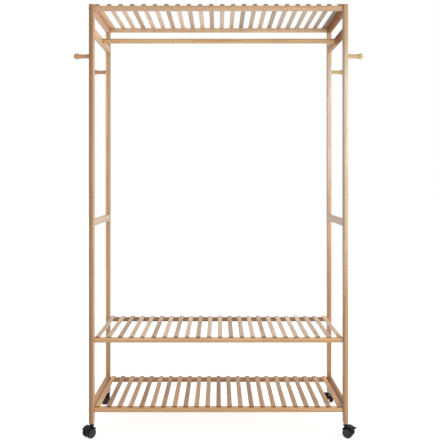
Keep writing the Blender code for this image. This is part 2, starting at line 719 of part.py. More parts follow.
def make_pedal(rack, place, base):
    """A brake pedal with a stub axle at each side."""
    pivot_y, pivot_z = pedal_pivot()
    name = f"brake_pedal_{place}"
    pedal = rack.add(name, outline_mesh(name, pedal_outline(), PEDAL_WIDTH / 2), "pedal_plastic", base)
    pedal.location = (0, pivot_y, pivot_z)
    bm = bmesh.new()
    length = PEDAL_WIDTH + 2 * TRUNNION_LENGTH
    add_cylinder(bm, TRUNNION_DIAMETER / 2, length, (0, pivot_y, pivot_z), (1, 0, 0))
    stubs = rack.add_tool(f"{name}_stubs", as_mesh(bm, f"{name}_stubs"), base)
    combine(pedal, stubs, "UNION")


def make_stem(rack, place, x, y):
    """A threaded stem: screwed into the post's foot above its neck, a plain journal below."""
    neck_top = POST_FOOT_Z - SEAT_GAP
    neck_foot = HOOD_TOP_Z + SEAT_GAP
    radius = STEM_DIAMETER / 2
    neck_radius = STEM_NECK_DIAMETER / 2
    profile = [
        (0, POST_FOOT_Z + STEM_THREAD_LENGTH),
        (radius, POST_FOOT_Z + STEM_THREAD_LENGTH),
        (radius, neck_top),
        (neck_radius, neck_top),
        (neck_radius, neck_foot),
        (radius, neck_foot),
        (radius, HOOD_TOP_Z - STEM_JOURNAL_LENGTH),
        (0, HOOD_TOP_Z - STEM_JOURNAL_LENGTH),
    ]
    name = f"caster_stem_{place}"
    stem = rack.add(name, profile_mesh(name, profile), "zinc_steel")
    stem.location = (x, y, 0)
    turn_profile(stem, BORE_SIDES)


def make_caster(rack, side, end):
    """One twin-wheel swivel caster under a post."""
    place = f"{end}_{side}"
    x = SIDES[side] * POST_X
    y = ENDS[end] * POST_Y
    make_stem(rack, place, x, y)
    base = rack.add_empty(f"caster_{place}", (x, y, 0))
    base.rotation_euler = (0, 0, math.radians(CASTER_HEADING_DEGREES[place]))
    braked = place in BRAKED_CASTERS
    make_hood(rack, place, base, braked)
    if braked:
        make_pedal(rack, place, base)

    axle_reach = WHEEL_SPACING / 2 - WHEEL_WIDTH / 2 + WHEEL_BORE_DEPTH - SEAT_GAP
    bm = bmesh.new()
    add_cylinder(bm, AXLE_DIAMETER / 2, 2 * axle_reach, (0, 0, 0), (1, 0, 0))
    axle_name = f"caster_axle_{place}"
    axle = rack.add(axle_name, as_mesh(bm, axle_name), "zinc_steel", base)
    axle.location = (0, WHEEL_TRAIL, WHEEL_RADIUS)

    for hand, across in SIDES.items():
        wheel_name = f"wheel_{place}_{hand}"
        wheel = rack.add(wheel_name, profile_mesh(wheel_name, wheel_profile()), "wheel_plastic", base)
        wheel.location = (across * WHEEL_SPACING / 2, WHEEL_TRAIL, WHEEL_RADIUS)
        half_facet = Matrix.Rotation(math.pi / WHEEL_SIDES, 4, "Z")
        turn = facing((across, 0, 0)).to_matrix().to_4x4() @ half_facet
        wheel.rotation_euler = turn.to_euler()
        turn_profile(wheel, WHEEL_SIDES)


def build_rack():
    """Build the whole rack."""
    clear_scene()
    rack = Rack()
    for side in SIDES:
        for end in ENDS:
            make_post(rack, side, end)
            make_peg(rack, side, end)
            make_caster(rack, side, end)
        for level in SIDE_RAILS:
            make_side_rail(rack, level, side)
    make_rod(rack)
    for level in SHELVES:
        make_shelf(rack, level)
    make_fasteners(rack)


build_rack()
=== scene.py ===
"""The looks of the clothes rack: lacquered bamboo, black moulded casters and zinc-plated steel."""
import json
import math

import bmesh
import bpy
import numpy as np
from mathutils import Matrix, Vector


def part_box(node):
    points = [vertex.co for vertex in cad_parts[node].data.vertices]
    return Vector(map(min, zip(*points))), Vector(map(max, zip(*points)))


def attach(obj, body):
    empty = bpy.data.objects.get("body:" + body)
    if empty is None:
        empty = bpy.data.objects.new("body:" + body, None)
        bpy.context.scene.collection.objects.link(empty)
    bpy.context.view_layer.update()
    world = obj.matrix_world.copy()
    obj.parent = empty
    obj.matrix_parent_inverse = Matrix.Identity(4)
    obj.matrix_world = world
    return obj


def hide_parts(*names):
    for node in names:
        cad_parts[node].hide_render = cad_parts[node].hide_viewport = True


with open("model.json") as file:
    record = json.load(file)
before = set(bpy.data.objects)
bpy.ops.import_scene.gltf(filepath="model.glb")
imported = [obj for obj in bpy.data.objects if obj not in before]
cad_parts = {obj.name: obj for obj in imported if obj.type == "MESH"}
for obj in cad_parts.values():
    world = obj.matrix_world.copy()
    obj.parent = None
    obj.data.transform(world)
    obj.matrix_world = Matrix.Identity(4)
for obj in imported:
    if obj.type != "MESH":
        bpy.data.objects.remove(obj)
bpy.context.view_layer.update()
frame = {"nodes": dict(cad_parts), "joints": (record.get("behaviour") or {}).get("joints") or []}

NODES = frame["nodes"]
JOINTS = {joint["name"]: joint for joint in frame["joints"]}
SIDES = {"left": -1, "right": 1}
ENDS = {"front": -1, "rear": 1}
LEVELS = ("top", "middle", "bottom")
FASTENERS = ("bolt_", "rod_screw_")
X, Y, Z = range(3)

# Camera: the photograph's size in pixels, its horizon's row and its vanishing column
IMAGE_PIXELS = 440
FOCAL_PIXELS = 623
HORIZON_ROW = 180
VANISHING_COLUMN = 218.6
SENSOR_MM = 36
CAMERA_PLACE = (0, -2.5925, 0.9925)

# Studio, in metres. A lamp has its place, the point it looks at, its size and its watts
FLOOR_HALF_SIZE = 14
FLOOR_TONE = 0.92
FLOOR_GLOW = 0.56
WORLD_STRENGTH = 0.60
LAMPS = {
    "key": ((2.4, -1.2, 1.9), (0.1, 0, 0.9), (0.8, 1.6), 38),
    "front": ((-0.9, -3.4, 1.3), (0, 0, 0.8), (0.6, 0.6), 8),
    "top": ((-0.6, -0.3, 4.4), (-0.1, 0, 0.3), (1.6, 1.6), 26),
}

# Bamboo: strips are glued side by side, and each has nodes and fibres along it. Sizes are in
# metres, a strip's along each axis, with zero for an axis that isn't divided. Scales are in waves
# a metre, along the fibres and across them
POST_STRIPS = (0.006, 0.014, 0)
BAR_STRIPS = (0, 0, 0.006)
UNDIVIDED = (0, 0, 0)
FACE_MARGIN = 0.0002
STRIP_SPREAD = 0.55
NODE_SPACING = 0.29
NODE_HALF_WIDTH = 0.0028
NODE_CORE_SHARE = 0.35
NODE_STRENGTH = 0.58
NODE_SHIFTS = 5.0
HALO_SHARE = 5
HALO_STRENGTH = 0.10
WAVER_SCALE = 260.0
WAVER_REACH = 0.004
SECTION_LENGTH = 0.21
SECTION_SPREAD = 0.30
SECTION_SEED_STEP = 31.7
DRIFT_SEED_STEP = 3.17
FIBRE_SCALES = (9.0, 620.0)
FIBRE_NOISE = (1.0, 3.0, 0.6)
FIBRE_SPREAD = 0.60
MOTTLE_SCALES = (7.0, 55.0)
MOTTLE_SPREAD = 0.50
FLECK_SCALES = (55.0, 1700.0)
FLECK_DETAIL = 1.0
FLECK_LIMITS = (0.60, 0.72)
FLECK_STRENGTH = 0.34
GLUE_LINE = 0.00022
GLUE_CORE_SHARE = 0.4
GLUE_STRENGTH = 0.45
PORE_SCALE = 1500.0
PORE_LIMITS = (0.18, 0.42)
PORE_STRENGTH = 0.5
CUT_STRENGTH = 0.92
LACQUER_ROUGHNESS = 0.34
FIBRE_ROUGHENING = 0.20
CUT_ROUGHENING = 0.2
LACQUER_SPECULAR = 0.44
COAT = 0.14
COAT_ROUGHNESS = 0.2
NODE_RISE = 0.9
FLECK_RISE = -0.5
BAMBOO_BUMP = (0.35, 0.00025)

# From which share of a face's direction it counts as the front, as a strip's flat side or as an end
FRONT_LIMITS = (-0.8, -0.5)
FLAT_LIMITS = (0.5, 0.8)
END_LIMITS = (0.75, 0.95)

# What the bamboo's mean colour is multiplied with in its dark, light, warm and stained parts
DARK_SHARES = (0.74, 0.66, 0.55, 1.0)
LIGHT_SHARES = (1.26, 1.28, 1.32, 1.0)
WARM_SHARES = (1.0, 0.90, 0.84, 1.0)
STAIN = (0.32, 0.25, 0.20, 1.0)
END_GRAIN = (0.34, 0.28, 0.23, 1.0)

# Mean colours of the bamboo, piece by piece, as one colour or as several evenly spaced along the
# fibres. A shade lean is an axis and how bright the piece is at its low and its high side, as a
# number or a colour: painted light and shade, one side of a piece made paler or darker as light
# falls on it. A post's flank is the colour of all its sides but the front one, painted light and
# shade by the way a face looks. A side rail has its tone, how bright its inner and its outer side
# are, which is painted light and shade, and how much lacquer it has. The painted lights say how
# much paler or darker the first and the last slat of a deck are, as painted light and shade
# The pale, whitish stops high up the right-hand posts are a painted glare
POST_TONES = {
    "front_left": [(0.37, 0.215, 0.112), (0.40, 0.245, 0.13), (0.35, 0.20, 0.10)],
    "front_right": [
        (0.48, 0.29, 0.145), (0.545, 0.33, 0.16), (0.70, 0.57, 0.40), (0.775, 0.70, 0.556),
        (0.52, 0.355, 0.195),
    ],
    "rear_left": [(0.58, 0.38, 0.21), (0.62, 0.41, 0.235), (0.71, 0.495, 0.295)],
    "rear_right": [
        (0.47, 0.29, 0.155), (0.445, 0.277, 0.15), (0.64, 0.465, 0.347), (0.72, 0.61, 0.537),
        (0.53, 0.385, 0.255),
    ],
}
# Painted light and shade: each post darker on one side and paler on the other, the front posts
# darkest on their left
POST_SHADE_LEANS = {
    "front_left": (X, 0.74, 1.12),
    "front_right": (X, 0.64, 1.18),
    "rear_left": (X, 1.06, 0.92),
    "rear_right": (X, 0.96, 1.04),
}
# Painted light and shade: every side of a post but the front gets a colour of its own, by the way
# the face looks
POST_PAINTED_FLANKS = {
    "front_left": (0.58, 0.345, 0.18),
    "front_right": (0.45, 0.31, 0.19),
    "rear_left": (0.60, 0.41, 0.24),
    "rear_right": (0.48, 0.345, 0.22),
}
# Painted light and shade: the inner sides of the left top and rod rails are made paler, those of
# top_right and the bottom rails darker. rod_right's tone is darker towards its front, a painted
# shadow round the rod's end, and its outer side is made paler again; top_right grows darker towards
# its rear
SIDE_RAILS = {
    "top_left": ((0.60, 0.40, 0.235), (1.24, 1.09, 1.10), 1.0, 1.0),
    "top_right": (
        [(0.56, 0.39, 0.24), (0.56, 0.39, 0.24), (0.49, 0.28, 0.13)],
        (0.78, 0.60, 0.64), 1.0, 0.0,
    ),
    "rod_left": ((0.70, 0.48, 0.27), (1.13, 1.13, 1.12), 1.0, 1.0),
    "rod_right": (
        [(0.36, 0.20, 0.115), (0.28, 0.14, 0.075), (0.55, 0.39, 0.28), (0.57, 0.41, 0.29)],
        1.0, (1.2, 1.3, 1.35), 0.0,
    ),
    "middle_left": ((0.64, 0.48, 0.355), 1.0, 1.0, 1.0),
    "middle_right": ((0.53, 0.41, 0.30), 0.96, 1.0, 1.0),
    "bottom_left": ((0.62, 0.39, 0.20), (0.84, 0.88, 0.86), 1.0, 0.2),
    "bottom_right": ((0.62, 0.39, 0.21), (0.56, 0.43, 0.30), 1.0, 0.2),
}
FRONT_RAIL_TONES = {
    "top": (0.58, 0.39, 0.235),
    "middle": (0.72, 0.48, 0.26),
    "bottom": (0.57, 0.365, 0.178),
}
# Painted shade: the top front rail darker along its top, the middle and bottom ones along their
# bottom
FRONT_RAIL_SHADE_LEANS = {"top": (Z, 1.02, 0.90), "middle": (Z, 0.88, 1.05), "bottom": (Z, 0.92, 1.03)}
# The middle and bottom rear rails are darkened as a painted shade under their slats
REAR_RAIL_TONES = {
    "top": (0.74, 0.56, 0.38),
    "middle": (0.33, 0.19, 0.105),
    "bottom": (0.44, 0.27, 0.145),
}
SLAT_TONES = {
    "top": (0.69, 0.545, 0.395),
    "middle": [(0.51, 0.385, 0.255), (0.53, 0.40, 0.27), (0.66, 0.465, 0.31)],
    "bottom": [(0.42, 0.248, 0.11), (0.42, 0.248, 0.11), (0.51, 0.30, 0.14)],
}
# Painted light and shade: the slats of a deck paler to the left and darker to the right
SLAT_SHADE_LEANS = {"top": (X, 1.18, 0.68), "middle": (X, 1.02, 0.97), "bottom": (X, 1.12, 0.92)}
# Painted light and shade: the top deck's last slat darker, the bottom deck's end slats paler
END_SLAT_PAINTED_LIGHTS = {"top": (0.0, -0.35), "middle": (0.0, 0.0), "bottom": (0.36, 0.46)}
SLAT_SPREAD = 1.15
ROD_TONE = (0.67, 0.465, 0.245)
# Painted shade: the rod darker along its top and paler along its underside
ROD_SHADE_LEAN = (Z, 1.14, 0.78)
ROD_SPREADS = (0.35, 0.5)
PEG_TONES = {"left": (0.56, 0.31, 0.135), "right": (0.62, 0.49, 0.235)}
# Painted shade: the pegs darker along their top and paler along their underside
PEG_SHADE_LEAN = (Z, 1.12, 0.74)
PEG_SPREADS = (0.3, 0.1)
PEG_COAT = 0.6

# Seeds of the pieces' grain
POST_SEED = 3
SIDE_RAIL_SEED = 20
FRONT_RAIL_SEED = 40
REAR_RAIL_SEED = 50
SLAT_SEED = 60
ROD_SEED = 71
PEG_SEED = 80

# Moulded plastic: colour, roughness, dust and the tread's colour. A noise's numbers are its scale
# in waves a metre, its detail and roughness
HOOD_PLASTIC = ((0.008, 0.008, 0.009), 0.42)
PEDAL_PLASTIC = ((0.009, 0.009, 0.010), 0.46)
WHEEL_PLASTIC = ((0.040, 0.040, 0.042), 0.38, 0.4, (0.006, 0.006, 0.006))
TREAD_ROUGHENING = 0.16
CLOUD_NOISE = (70.0, 3.0, 0.6)
CLOUD_SHARES = (0.70, 1.40)
CLOUD_ROUGHENING = 0.22
MOULD_NOISE = (1400.0, 2.0, 0.6)
DUST_COLOUR = (0.16, 0.15, 0.14)
DUST_HEIGHTS = (0.002, 0.014)
SCUFF_NOISE = (260.0, 4.0, 0.7)
SCUFF_LIMITS = (0.48, 0.70)
PLASTIC_SPECULAR = 0.14
PLASTIC_BUMP = (0.30, 0.00012)

# Zinc plating
ZINC_COLOURS = ((0.50, 0.51, 0.53), (0.66, 0.65, 0.61))
ZINC_NOISE = (240.0, 3.0, 0.6)
SCRATCH_SCALES = (90.0, 2600.0)
SCRATCH_ROUGHNESS = 0.7
ZINC_ROUGHNESS = 0.20
SCRATCH_ROUGHENING = 0.22
ZINC_BUMP = (0.20, 0.00004)

# Fine forms of the decks and the rod, in metres
SLAT_ROUND = 0.0024
SLAT_EDGE = 0.0005
SLAT_SEAT = 0.0004
EDGE_DECIMALS = 5
RAIL_ROUND = 0.0015
ROUND_STEPS = 4
ROD_RADIUS_IN_EASES = 14

# A peg: its neck and collar, from the knob to the post, as pairs of a share of its length and a
# share of the knob's radius
PEG_COLLAR_SHARE = 0.83
PEG_KNOB_ARC = (0, 128, 14)
PEG_NECK = (
    (0.56, 0.7722), (0.48, 0.72306), (0.38, 0.702), (0.26, 0.702), (0.16, 0.72306),
    (0.09, 0.76518), (0.05, 0.7722), (0.044, 0.7968), (0.034, 0.83),
)
PEG_FOOT_SHARE = 0.97
PEG_SEAT = 0.0003
PEG_SPIGOT_RADIUS = 0.0040

# Bolts and screws: shares of the head's radius and height, metres or radians
HEX_TURN = math.radians(60)
RIM_SHARE = 0.9
HEAD_FLAT_SHARE = 0.60
HEAD_SIDE_SHARE = 0.35
HEAD_EASE = 0.0003
DOME_STEPS = 5
SOCKET_SHARE = 0.42
SOCKET_DEPTH_SHARE = 0.6
SOCKET_POINT_SHARE = 1.1
SOCKET_MOUTH_SHARE = 1.06
SOCKET_EASE = 0.0002
SHANK_POINT = 0.0006
SHANK_POINT_SHARE = 0.8

# Fine forms of the casters, in metres and degrees. An arc is its first and last angle and its
# steps. A wheel's face goes outwards, as pairs of a radius and a depth below the rim
WHEEL_FACE = (
    (0, 0.0003), (0.00279, 0.0002), (0.00341, 0), (0.0054, 0), (0.0060, 0.0004),
    (0.0062, 0.0010), (0.0066, 0.0014), (0.00915, 0.0014), (0.00955, 0.0009),
    (0.01055, 0.0009), (0.01095, 0.0014), (0.0135, 0.0014), (0.0142, 0.0010),
    (0.0153, 0.0002), (0.0157, 0),
)
TREAD_INNER_RADIUS = 0.0153
WHEEL_SHOULDER = 0.0032
WHEEL_SHOULDER_ARC = (90, 0, 8)
WHEEL_EASE = 0.0004
WHEEL_CROWN = 0.0001
WHEEL_INNER_ROUND = 0.0012
WHEEL_INNER_ARC = (0, -90, 4)
WHEEL_BORE_RADIUS = 0.0027
WHEEL_BORE_DEPTH = 0.0092
HOOD_GAP = 0.0015
HOOD_THICKNESS = 0.0032
HOOD_HALF_WIDTH = 0.0175
HOOD_EASE = 0.0010
HOOD_ROUND = 0.0012
HOOD_REAR_DEGREES = 28
HOOD_FRONT_DEGREES = 150
WEB_BITE = 0.0017
WEB_HALF_WIDTH = 0.0056
WEB_ROUND = 0.0010
WEB_EASE = 0.0003
WEB_NOSE_DEGREES = 168
AXLE_BOSS_RADIUS = 0.007
AXLE_BOSS_ARC = (225, 315, 8)
SLOT_DEGREES = 49
SLOT_HALF_WIDTH = 0.0093
SLOT_FLOOR_RADIUS = 0.0190
SLOT_STEPS = 4
PRONG_BITE_DEGREES = 3
PRONG_STEPS = 6
KNUCKLE_RADIUS = 0.0036
KNUCKLE_SIDES = 24
STEM_BOSS_RADIUS = 0.0080
STEM_BOSS_BITE = 0.0004
STEM_BOSS_FLARES = ((1.12, -0.0004), (1.03, 0.0006))
STEM_BOSS_CROWN = ((0, 0.0012), (0.0003, 0.0004), (0.0010, 0))
STEM_RECESS_RADIUS = 0.0043
STEM_RECESS_DEPTH = 0.0010
STEM_RADIUS_SHARE = 8 / 11
STEM_CLEARANCE = 0.0003
STEM_COLLAR_EASE = 0.0005
STEM_TIP_EASE = 0.0006
THREAD_PITCH = 0.00125
THREAD_DEPTH = 0.0006
TRUNNION_RADIUS = 0.0015
TRUNNION_LENGTH = 0.0040
PEDAL_HALF_WIDTH = 0.0090
PEDAL_LENGTH = 0.0130
PEDAL_THICKNESS = 0.0026
PEDAL_ROUND = 0.0006
PEDAL_EASE = 0.0004
PEDAL_RIBS = (0.0062, 0.0082, 0.0102)
PEDAL_RIB_SIZE = 0.0005
PEDAL_BARREL_RADIUS = 0.0030
PEDAL_BARREL_STEPS = 10
PEDAL_REST_DEGREES = 30
PEDAL_LOBE_REACH = 0.0043
PEDAL_LOBE_DEGREES = (186, 208, 230)

# How round pieces are divided, and which faces and corners are crisp
ROD_SIDES = 64
PEG_SIDES = 48
WHEEL_SIDES = 64
FASTENER_SIDES = 36
ARC_STEPS = 20
SOFTEN_STEPS = 3
SOFTEN_SHARE = 0.45
STRAIGHT_DEGREES = 150
EASE_STEPS = 3
SMOOTH_DEGREES = 35
FLAT_AREA = 0.0008


class Nodes:
    """A node tree, with short calls that add to it."""

    def __init__(self, tree):
        self.tree = tree

    def node(self, kind, **settings):
        """Add a node."""
        item = self.tree.nodes.new(kind)
        for key, value in settings.items():
            setattr(item, key, value)
        return item

    def feed(self, socket, value):
        """Link an output to a socket, or set the socket's own value."""
        if isinstance(value, bpy.types.NodeSocket):
            self.tree.links.new(value, socket)
        else:
            socket.default_value = value

    def run(self, item, *values):
        """Feed a node's first inputs, and give its first output."""
        for socket, value in zip(item.inputs, values):
            self.feed(socket, value)
        return item.outputs[0]

    def math(self, operation, *values, clamp=False):
        """A Math node's result."""
        item = self.node("ShaderNodeMath", operation=operation, use_clamp=clamp)
        return self.run(item, *values)

    def flip(self, value):
        """One less a value."""
        return self.math("SUBTRACT", 1.0, value)

    def centred(self, value):
        """A value less a half."""
        return self.math("SUBTRACT", value, 0.5)

    def vector(self, operation, *values):
        """A Vector Math node's vector."""
        return self.run(self.node("ShaderNodeVectorMath", operation=operation), *values)

    def split(self, vector):
        """A vector's three numbers."""
        item = self.node("ShaderNodeSeparateXYZ")
        self.run(item, vector)
        return item.outputs

    def ease(self, value, low, high):
        """0 below low, 1 above high and smooth between them."""
        item = self.node("ShaderNodeMapRange", interpolation_type="SMOOTHSTEP")
        return self.run(item, value, low, high, 0.0, 1.0)

    def mix(self, share, first, second, blend="MIX"):
        """Two colours mixed."""
        item = self.node("ShaderNodeMix", data_type="RGBA", blend_type=blend)
        self.feed(item.inputs[0], share)
        self.feed(item.inputs[6], first)
        self.feed(item.inputs[7], second)
        return item.outputs[2]

    def product(self, first, second):
        """Two colours multiplied."""
        return self.mix(1.0, first, second, "MULTIPLY")

    def noise(self, vector, scale=1.0, detail=2.0, roughness=0.5):
        """Smooth noise from 0 to 1."""
        item = self.node("ShaderNodeTexNoise")
        self.feed(item.inputs["Vector"], vector)
        self.feed(item.inputs["Scale"], scale)
        self.feed(item.inputs["Detail"], detail)
        self.feed(item.inputs["Roughness"], roughness)
        return item.outputs[0]

    def chance(self, vector, number):
        """Three numbers from 0 to 1 that belong to a cell."""
        item = self.node("ShaderNodeTexWhiteNoise", noise_dimensions="4D")
        self.feed(item.inputs["Vector"], vector)
        self.feed(item.inputs["W"], number)
        parts = self.node("ShaderNodeSeparateColor")
        self.run(parts, item.outputs["Color"])
        return parts.outputs

    def face_number(self, name):
        """The number that a mesh keeps on its faces under a name, or 0."""
        return self.node("ShaderNodeAttribute", attribute_name=name).outputs["Fac"]

    def background_rays(self):
        """1 for camera, glossy and transmission rays, and 0 for others."""
        rays = self.node("ShaderNodeLightPath")
        seen = rays.outputs["Is Camera Ray"]
        for kind in ("Is Glossy Ray", "Is Transmission Ray"):
            seen = self.math("MAXIMUM", seen, rays.outputs[kind])
        return seen


class Surface(Nodes):
    """A new material's node tree and its shader."""

    def __init__(self, name):
        self.material = bpy.data.materials.new(name)
        self.material.use_nodes = True
        super().__init__(self.material.node_tree)
        self.shader = self.tree.nodes["Principled BSDF"]

    def give(self, name, value):
        """Feed an input of the shader."""
        self.feed(self.shader.inputs[name], value)

    def bump(self, height, strength, distance):
        """Give the shader a bump from a height."""
        item = self.node("ShaderNodeBump")
        self.feed(item.inputs["Strength"], strength)
        self.feed(item.inputs["Distance"], distance)
        self.feed(item.inputs["Height"], height)
        self.give("Normal", item.outputs["Normal"])


def tint(colour, scale=1.0):
    """A number or three channels, scaled, as a node's colour."""
    channels = colour if isinstance(colour, tuple) else (colour,) * 3
    return (*(channel * scale for channel in channels), 1.0)


def per_axis(axis, along, across):
    """A vector with one value along an axis and another across it."""
    return tuple(along if index == axis else across for index in range(3))


def strip_grid(box, strips):
    """The size and the start of a piece's strips along each axis, clear of its outer faces."""
    cells, starts = [], []
    for start, end, strip in zip(*box, strips):
        span = end - start + 2 * FACE_MARGIN
        cells.append(span / max(1, round(span / strip)) if strip else 2 * span)
        starts.append(start - FACE_MARGIN)
    return cells, starts


def graded(surface, along, low, high, stops):
    """Colours that pass smoothly into each other from low to high."""
    base = tint(stops[0])
    stretch = (high - low) / max(1, len(stops) - 1)
    for index, stop in enumerate(stops[1:]):
        start = low + index * stretch
        base = surface.mix(surface.ease(along, start, start + stretch), base, tint(stop))
    return base


def bamboo_nodes(surface, point, along, axis, shift_chance):
    """Where the dark bands of the bamboo's nodes lie, and the pale halos round them."""
    waver_point = surface.vector("MULTIPLY", point, per_axis(axis, 0.0, WAVER_SCALE))
    waver = surface.math("MULTIPLY", surface.centred(surface.noise(waver_point)), WAVER_REACH)
    shift = surface.math("MULTIPLY", shift_chance, NODE_SHIFTS)
    wavering = surface.math("ADD", along, waver)
    part = surface.math("FRACT", surface.math("MULTIPLY_ADD", wavering, 1 / NODE_SPACING, shift))
    near = surface.math("MINIMUM", part, surface.flip(part))
    half = NODE_HALF_WIDTH / NODE_SPACING
    band = surface.flip(surface.ease(near, half * NODE_CORE_SHARE, half))
    halo = surface.flip(surface.ease(near, half, half * HALO_SHARE))
    return band, halo


def grain(surface, point, axis, number):
    """The fibres, the broad mottling and the fine flecks along an axis."""
    drift = surface.node("ShaderNodeCombineXYZ")
    step = surface.math("MULTIPLY", number, DRIFT_SEED_STEP)
    for socket in drift.inputs:
        surface.feed(socket, step)
    fibre_point, mottle_point, fleck_point = (
        surface.vector("MULTIPLY", point, per_axis(axis, *scales))
        for scales in (FIBRE_SCALES, MOTTLE_SCALES, FLECK_SCALES)
    )
    fibre_point = surface.vector("ADD", fibre_point, drift.outputs[0])
    mottle_point = surface.vector("ADD", mottle_point, drift.outputs[0])
    fibre = surface.noise(fibre_point, *FIBRE_NOISE)
    mottle = surface.noise(mottle_point)
    fleck = surface.ease(surface.noise(fleck_point, detail=FLECK_DETAIL), *FLECK_LIMITS)
    return fibre, mottle, fleck


def glue_seams(surface, scaled, cells, strips, facing):
    """Where the glued joints between strips show, or None for a piece that isn't divided."""
    parts = surface.split(surface.vector("FRACTION", scaled))
    seam = None
    for part, cell, strip, faces in zip(parts, cells, strips, facing):
        if not strip:
            continue
        near = surface.math("MINIMUM", part, surface.flip(part))
        edge = GLUE_LINE / cell
        line = surface.flip(surface.ease(near, edge * GLUE_CORE_SHARE, edge))
        line = surface.math("MULTIPLY", line, surface.flip(surface.ease(faces, *FLAT_LIMITS)))
        seam = line if seam is None else surface.math("MAXIMUM", seam, line)
    return seam


def cut_end(surface, point, base, stain):
    """The colour of a strip's cut end, dark and full of pores."""
    dots = surface.node("ShaderNodeTexVoronoi")
    surface.feed(dots.inputs["Vector"], point)
    surface.feed(dots.inputs["Scale"], PORE_SCALE)
    pores = surface.flip(surface.ease(dots.outputs["Distance"], *PORE_LIMITS))
    pore_share = surface.math("MULTIPLY", pores, PORE_STRENGTH)
    return surface.mix(pore_share, surface.product(base, END_GRAIN), stain)


def bamboo(name, axis, box, tones, strips, seed, spread=STRIP_SPREAD, section_spread=SECTION_SPREAD,
           shade_lean=None, painted_flank=None, lacquer=1.0, coat=COAT):
    """Laminated bamboo under satin lacquer, its fibres along an axis.

    box is the piece's lowest and highest corner, and tones its mean colour or a list of them.
    strips gives the strip size wanted along each axis, and zero for an axis that isn't divided.
    """
    surface = Surface(f"bamboo_{name}")
    place = surface.node("ShaderNodeTexCoord")
    point, normal = place.outputs["Object"], place.outputs["Normal"]
    low, high = box
    cells, starts = strip_grid(box, strips)
    scaled = surface.vector("DIVIDE", surface.vector("SUBTRACT", point, starts), cells)
    strip_cell = surface.vector("FLOOR", scaled)
    number = surface.math("ADD", surface.face_number("piece_seed"), seed)
    tone_chance, shift_chance, hue_chance = surface.chance(strip_cell, number)

    spot = surface.split(point)
    along = spot[axis]
    stops = tones if isinstance(tones, list) else [tones]
    base = graded(surface, along, low[axis], high[axis], stops)
    # Painted light and shade by the way a face looks: all sides but the front get their own colour
    if painted_flank:
        not_front = surface.ease(surface.split(normal)[Y], *FRONT_LIMITS)
        base = surface.mix(not_front, base, tint(painted_flank))
    stain = surface.product(base, STAIN)
    band, halo = bamboo_nodes(surface, point, along, axis, shift_chance)
    fibre, mottle, fleck = grain(surface, point, axis, number)

    sections_along = surface.math("MULTIPLY_ADD", along, 1 / SECTION_LENGTH, shift_chance)
    section_seed = surface.math("ADD", number, SECTION_SEED_STEP)
    section_number = surface.math("ADD", surface.math("FLOOR", sections_along), section_seed)
    section_chance, section_hue, _ = surface.chance(strip_cell, section_number)

    tone = 0.5
    spreads = (spread, section_spread, FIBRE_SPREAD, MOTTLE_SPREAD)
    for part, amount in zip((tone_chance, section_chance, fibre, mottle), spreads):
        tone = surface.math("MULTIPLY_ADD", surface.centred(part), amount, tone)
    tone = surface.math("ADD", tone, 0.0, clamp=True)
    shares = surface.mix(tone, DARK_SHARES, LIGHT_SHARES)
    # Painted light and shade: the piece is paler on one side and darker on the other, as light
    # falls on it
    if shade_lean:
        across, low_share, high_share = shade_lean
        share = surface.ease(spot[across], low[across], high[across])
        shares = surface.product(shares, surface.mix(share, tint(low_share), tint(high_share)))
    # Painted light and shade kept on a mesh's faces, such as paler or darker end slats, plus the
    # pale halos round the nodes
    painted_light_share = surface.math("ADD", surface.face_number("painted_light"), 1.0)
    halo_and_painted_light = surface.math("MULTIPLY_ADD", halo, HALO_STRENGTH, painted_light_share)
    colour = surface.vector("MULTIPLY", surface.product(base, shares), halo_and_painted_light)
    warmth = surface.math("MULTIPLY", surface.math("ADD", hue_chance, section_hue), 0.5)
    colour = surface.mix(warmth, colour, surface.product(colour, WARM_SHARES))
    colour = surface.mix(surface.math("MULTIPLY", fleck, FLECK_STRENGTH), colour, stain)
    colour = surface.mix(surface.math("MULTIPLY", band, NODE_STRENGTH), colour, stain)

    facing = surface.split(surface.vector("ABSOLUTE", normal))
    seam = glue_seams(surface, scaled, cells, strips, facing)
    if seam is not None:
        colour = surface.mix(surface.math("MULTIPLY", seam, GLUE_STRENGTH), colour, stain)
    end = surface.ease(facing[axis], *END_LIMITS)
    end_share = surface.math("MULTIPLY", end, CUT_STRENGTH)
    surface.give("Base Color", surface.mix(end_share, colour, cut_end(surface, point, base, stain)))

    rough = surface.math("MULTIPLY_ADD", fibre, FIBRE_ROUGHENING, LACQUER_ROUGHNESS)
    rough = surface.math("MULTIPLY_ADD", end, CUT_ROUGHENING, rough, clamp=True)
    surface.give("Roughness", rough)
    surface.give("Specular IOR Level", LACQUER_SPECULAR * lacquer)
    surface.give("Coat Weight", coat * lacquer)
    surface.give("Coat Roughness", COAT_ROUGHNESS)
    height = surface.math("MULTIPLY_ADD", band, NODE_RISE, fibre)
    surface.bump(surface.math("MULTIPLY_ADD", fleck, FLECK_RISE, height), *BAMBOO_BUMP)
    return surface.material


